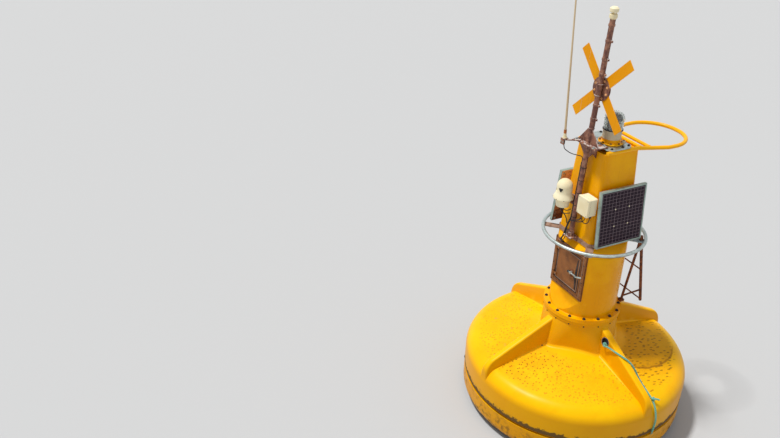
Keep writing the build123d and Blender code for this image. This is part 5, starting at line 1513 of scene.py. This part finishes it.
@dataclass
class Mast:
    """Cable ties, welds, collar and clamp screws of the mast."""

    line: MastLine = field(default_factory=MastLine)
    tie_levels: tuple[float, ...] = (2.245, 2.37, 2.50, 2.63, 2.76)
    clamp_levels: tuple[float, ...] = (3.240, 3.370, 3.655, 3.790, 3.950)
    cable: float = 0.007
    top_lead: Point = (-0.0121, -0.2793, 2.800)
    low_lead: Point = (-0.0152, -0.3035, 2.215)

    def tie(self, level: float) -> Form:
        """A strap round mast and cable: the farther of two circles in each direction."""
        share = (level - self.low_lead[2]) / (self.top_lead[2] - self.low_lead[2])
        lead = np.array(self.low_lead) + share * (np.array(self.top_lead) - np.array(self.low_lead))
        pole = self.line.at(level)
        away = (lead - pole)[:2]
        gap = np.linalg.norm(away)
        turn = np.radians(around(48)) + math.atan2(away[1], away[0])
        way = np.stack([np.cos(turn), np.sin(turn)], -1)
        far = way @ (away / gap) > (self.line.radius - self.cable) / gap
        centre = np.where(far[:, None], lead[:2], pole[:2])
        size = np.where(far, self.cable, self.line.radius)[:, None] + 0.0012
        loop = np.column_stack([centre + size * way, np.full(len(turn), level)])
        section = np.array([(-0.001, -0.003), (0.001, -0.003), (0.001, 0.003), (-0.001, 0.003)])
        return carried(loop, section, UP, ring=True)

    def build(self, shop: Shop) -> None:
        """Makes the ties, welds, collar and screws."""
        shop.piece("cable_ties", joined([self.tie(level) for level in self.tie_levels]), "black_plastic")
        bead = np.array([(0.0240, -0.003), (0.0300, -0.0005), (0.0270, 0.003), (0.0245, 0.005),
                         (0.0225, 0.0)])
        rings = [self.line.ring(z, bead) for z in (2.0775, 3.0075, 3.149)]
        shop.piece("mast_welds", joined(rings), "mast_rust")
        collar = np.array([(0.0246, -0.010), (0.0290, -0.010), (0.0300, -0.006), (0.0300, 0.006),
                           (0.0290, 0.010), (0.0246, 0.010)])
        shop.piece("mast_collar", self.line.ring(4.085, collar), "mast_rust")
        points = [self.line.at(z) + np.array([0.0385, -0.007, 0.0]) for z in self.clamp_levels]
        shop.piece("clamp_screws", hex_bolt(0.0050, 0.004, 0.0068).repeated(on_face(points, FRONT)),
                   "mast_rust")


@dataclass
class Topmark:
    """Hub bolts, the two U-bolts round the mast and the seams of the cross's arms."""

    line: MastLine = field(default_factory=MastLine)
    level: float = 3.512
    bolt_circle: float = 0.084
    bolt_count: int = 8
    half_width: float = 0.048
    seam_x: float = -0.222
    hub_front: float = -0.010
    bend: float = 0.0295

    def place(self) -> Array:
        """The cross's own frame: Y to the rear, leaned with the mast."""
        x, y, z = self.line.at(self.level)
        along = self.line.along()
        lean = math.atan2(math.hypot(along[0], along[1]) * 0.99, along[2])
        return np.array(Matrix.Translation((x - 0.010, y + 0.036, z)) @ Matrix.Rotation(-lean, 4, "X"))

    def build(self, shop: Shop) -> None:
        """Makes the bolts, the U-bolts and the seams."""
        place = self.place()
        a = np.radians(around(self.bolt_count, 22.5))
        for name, height, way in (("hub_bolts", 0.007, -1), ("hub_nuts", 0.008, 1)):
            depth = np.full(self.bolt_count, -way * self.hub_front)
            spots = np.stack([self.bolt_circle * np.cos(a), depth, self.bolt_circle * np.sin(a)], -1)
            heads = hex_bolt(0.0080, height, 0.012).repeated(on_face(spots, (0, way, 0)))
            shop.piece(name, heads.moved(place), "panel_steel")
        shop.piece("hub_straps", joined([self.strap(z) for z in (-0.052, 0.052)]), "mast_rust")
        seams = [box((self.seam_x, -0.0042, z), (0.0035, 0.0012, 2.7 * self.half_width))
                 for z in (self.seam_x, -self.seam_x)]
        shop.piece("arm_seams", joined(seams).moved(place), "panel_steel")

    def strap(self, rise: float) -> Form:
        """A U-bolt round the mast's front: a half circle with two straight legs back to the hub."""
        pole = self.line.at(self.level + rise)
        turn = np.radians(np.linspace(180, 360, 19))
        bend = np.stack([self.bend * np.cos(turn), self.bend * np.sin(turn), np.zeros(19)], -1)
        path = pole + np.vstack([(-self.bend, 0.024, 0.0), bend, (self.bend, 0.024, 0.0)])
        return carried(path, circle(0.004, 10), UP)


@dataclass
class CameraHead:
    """Skirt screws, the rim, the joint's seal, black as the painted shadow under the brim, the dark window
    and the gland of the camera.
    """

    centre: tuple[float, float] = (-0.106, -0.356)
    joint: float = 2.406
    skirt: float = 0.098
    eye_azimuth: float = -66.0
    eye_level: float = 2.511
    eye_reach: float = 0.0745
    eye_size: float = 0.0165
    gland: Point = (-0.118, -0.356, 2.322)

    def build(self, shop: Shop) -> None:
        """Makes the camera's small parts."""
        middle = (*self.centre, 0.0)
        low, skirt = self.joint, self.skirt
        # A black ring at the joint under the brim: the joint's seal, standing for the brim's painted shadow.
        seal = np.array([(0.0700, low - 0.004), (0.0762, low - 0.004), (0.0762, low), (0.0700, low)])
        shop.piece("brim_shadow_seal", ring_of(seal, 56).shifted(middle), "seal_black")
        rim = np.array([(skirt - 0.003, low), (skirt + 0.001, low + 0.001), (skirt + 0.001, low + 0.008),
                        (skirt - 0.001, low + 0.0105), (skirt - 0.004, low + 0.009)])
        shop.piece("camera_rim", ring_of(rim, 72).shifted(middle), "cream_plastic")
        screws = screw(0.0042, 0.003).repeated(outward_ring(skirt + 0.0008, low + 0.005, around(8, 10)))
        shop.piece("camera_screws", screws.shifted(middle), "keel_steel")
        corners = []
        for a in np.radians((330, 210, 90)):
            spot, turn = (self.eye_size * math.cos(a), -self.eye_size * math.sin(a)), -math.degrees(a)
            corners.append(arc(spot, 0.0070, turn - 60, turn + 60, 6))
        look = math.radians(self.eye_azimuth)
        out = (math.cos(look), math.sin(look), 0.0)
        spot = (self.centre[0] + self.eye_reach * out[0], self.centre[1] + self.eye_reach * out[1],
                self.eye_level)
        eye = slab(np.vstack(corners), -0.007, 0.0030, 0.0012).moved(frame_at(spot, out))
        shop.piece("camera_eye", eye, "black_plastic", stands_for=["camera_window"])
        lug = hex_bolt(0.009, 0.012, 0.013).moved(UPSIDE_DOWN)
        shop.piece("camera_gland", lug.shifted(self.gland), "black_plastic")


@dataclass
class JunctionBox:
    """Lid screws, the lid's seal and gland nuts of the junction box."""

    centre: tuple[float, float] = (0.172, 2.440)
    half: tuple[float, float] = (0.074, 0.089)
    front: float = -0.352
    split: float = -0.326
    glands: tuple[float, ...] = (0.118, 0.172, 0.222)
    gland_depth: float = -0.287

    def build(self, shop: Shop) -> None:
        """Makes the box's small parts."""
        (x, z), (half_x, half_z) = self.centre, self.half
        spots = [(x + sx * (half_x - 0.011), self.front, z + sz * (half_z - 0.011)) for sx in (-1, 1)
                 for sz in (-1, 1)]
        shop.piece("lid_screws", screw(0.0050, 0.0025).repeated(on_face(spots, FRONT)), "pin_steel")
        loop = rounded_rectangle(2 * half_x + 0.001, 2 * half_z + 0.001, 0.012)
        path = np.column_stack([loop[:, 0] + x, np.full(len(loop), self.split + 0.0012), loop[:, 1] + z])
        shop.piece("lid_seal", carried(path, circle(0.0018, 8), (0.0, 1.0, 0.0), ring=True), "seal_black")
        nut = hex_bolt(0.0165, 0.006).moved(UPSIDE_DOWN)
        nuts = joined([nut.shifted((spot, self.gland_depth, z - half_z)) for spot in self.glands])
        shop.piece("gland_nuts", nuts, "black_plastic")


@dataclass
class Whip:
    """Nuts, washer and plug at the whip's foot."""

    foot: Point = (-0.150, -0.405, 3.012)
    plate: float = 0.008
    lead: float = 2.948

    def build(self, shop: Shop) -> None:
        """Makes the nut under the plate, the lead's plug and the bolts of the drop plate."""
        x, y, z = self.foot
        under = z - self.plate
        nut = hex_bolt(0.0145, 0.010, 0.018).moved(UPSIDE_DOWN)
        shop.piece("whip_nut", nut.shifted((x, y, under)), "galvanised")
        low = self.lead
        plug = lathe([(0, low - 0.004), (0.0055, low - 0.004), (0.0075, low + 0.004), (0.0085, low + 0.020),
                      (0.0085, under - 0.012), (0.010, under - 0.010), (0.010, under - 0.002),
                      (0, under - 0.002)], 24)
        shop.piece("lead_plug", plug.shifted((x, y, 0.0)), "black_plastic")
        bolts = [(x + s * 0.014, y - 0.026, z - 0.034) for s in (-1, 1)]
        shop.piece("drop_bolts", hex_bolt(0.0055, 0.0045, 0.008).repeated(on_face(bolts, FRONT)),
                   "galvanised")


@dataclass
class Leads:
    """Short drip loops of cable between the camera, the box, the mast and the hatch flat."""

    radius: float = 0.0040
    camera: list[Point] = field(default_factory=lambda: [
        (-0.130, -0.345, 2.324), (-0.132, -0.344, 2.270), (-0.100, -0.342, 2.238), (-0.045, -0.340, 2.256),
        (-0.018, -0.322, 2.272)])
    inner: list[Point] = field(default_factory=lambda: [
        (-0.098, -0.350, 2.324), (-0.100, -0.346, 2.292), (-0.066, -0.342, 2.280), (-0.030, -0.338, 2.300),
        (-0.014, -0.322, 2.318)])
    box: list[Point] = field(default_factory=lambda: [
        (0.172, -0.294, 2.330), (0.166, -0.296, 2.272), (0.120, -0.306, 2.238), (0.060, -0.324, 2.222),
        (0.010, -0.330, 2.206)])
    box_loop: list[Point] = field(default_factory=lambda: [
        (0.222, -0.290, 2.330), (0.222, -0.292, 2.280), (0.180, -0.300, 2.246), (0.138, -0.306, 2.262),
        (0.120, -0.304, 2.310)])
    bundle: list[Point] = field(default_factory=lambda: [
        (-0.020, -0.318, 2.200), (-0.030, -0.330, 2.130), (-0.042, -0.338, 2.060), (-0.062, -0.340, 1.985),
        (-0.080, -0.318, 1.930),
        (-0.078, -0.270, 1.905), (-0.070, -0.246, 1.900)])
    slack: list[Point] = field(default_factory=lambda: [
        (-0.012, -0.322, 2.180), (-0.020, -0.338, 2.100), (-0.010, -0.346, 2.040), (-0.022, -0.344, 1.985),
        (-0.064, -0.334, 1.955),
        (-0.084, -0.300, 1.925), (-0.070, -0.246, 1.905)])

    def build(self, shop: Shop) -> None:
        """Makes each lead as a round tube along its smooth line."""
        routes = {"camera_leads": [self.camera, self.inner], "box_leads": [self.box, self.box_loop],
                  "mast_leads": [self.bundle, self.slack]}
        for name, group in routes.items():
            tubes = [carried(smooth_line(route, 8), circle(self.radius, 10), (0.37, 0.29, 0.11))
                     for route in group]
            shop.piece(name, joined(tubes), "cable_black", crease=70)


@dataclass
class RearFrame:
    """Foot bolts and welds of the rear frame."""

    foot: Point = (0.184, 0.356, 1.222)
    top: Point = (0.320, 0.320, 2.046)
    outer: Point = (0.265, 0.542, 1.205)
    shares: tuple[float, ...] = (0.51, 0.985)

    def build(self, shop: Shop) -> None:
        """Makes the bolts on the feet and a bead round each bar's end."""
        x, y, z = self.foot
        spots = [(side * (x - 0.014), y - 0.013, z) for side in (-1, 1)]
        shop.piece("foot_bolts", hex_bolt(0.0075, 0.006, 0.0095).repeated(on_face(spots, UP)), "keel_steel")
        profile = np.array([(0.0068, -0.003), (0.0110, 0.0), (0.0085, 0.003), (0.0060, 0.004)])
        rings = []
        top, outer = np.array(self.top), np.array(self.outer)
        for share in self.shares:
            x, y, z = top + share * (outer - top)
            for side in (-1, 1):
                rings.append(ring_of(profile, 20).moved(frame_at((side * (x - 0.0145), y, z), (-side, 0, 0))))
        shop.piece("frame_welds", joined(rings), "panel_steel", crease=60)


def main() -> None:
    """Builds the classes in order: the studio and the rope first, then the rest."""
    logging.basicConfig(level=logging.INFO, format="%(name)s %(message)s")
    Studio().build()
    shop = Shop()
    shop.dress_nodes()
    Rope().build(shop)
    parts = [Float(), Tower(), Hatch(), GuardRing(), SolarPanel("right", 0.0), SolarPanel("left", 180.0),
             TopGear(), Lantern(),
             Mast(), Topmark(), CameraHead(), JunctionBox(), Leads(), Whip(), RearFrame()]
    for part in parts:
        part.build(shop)


if __name__ == "__main__":
    main()
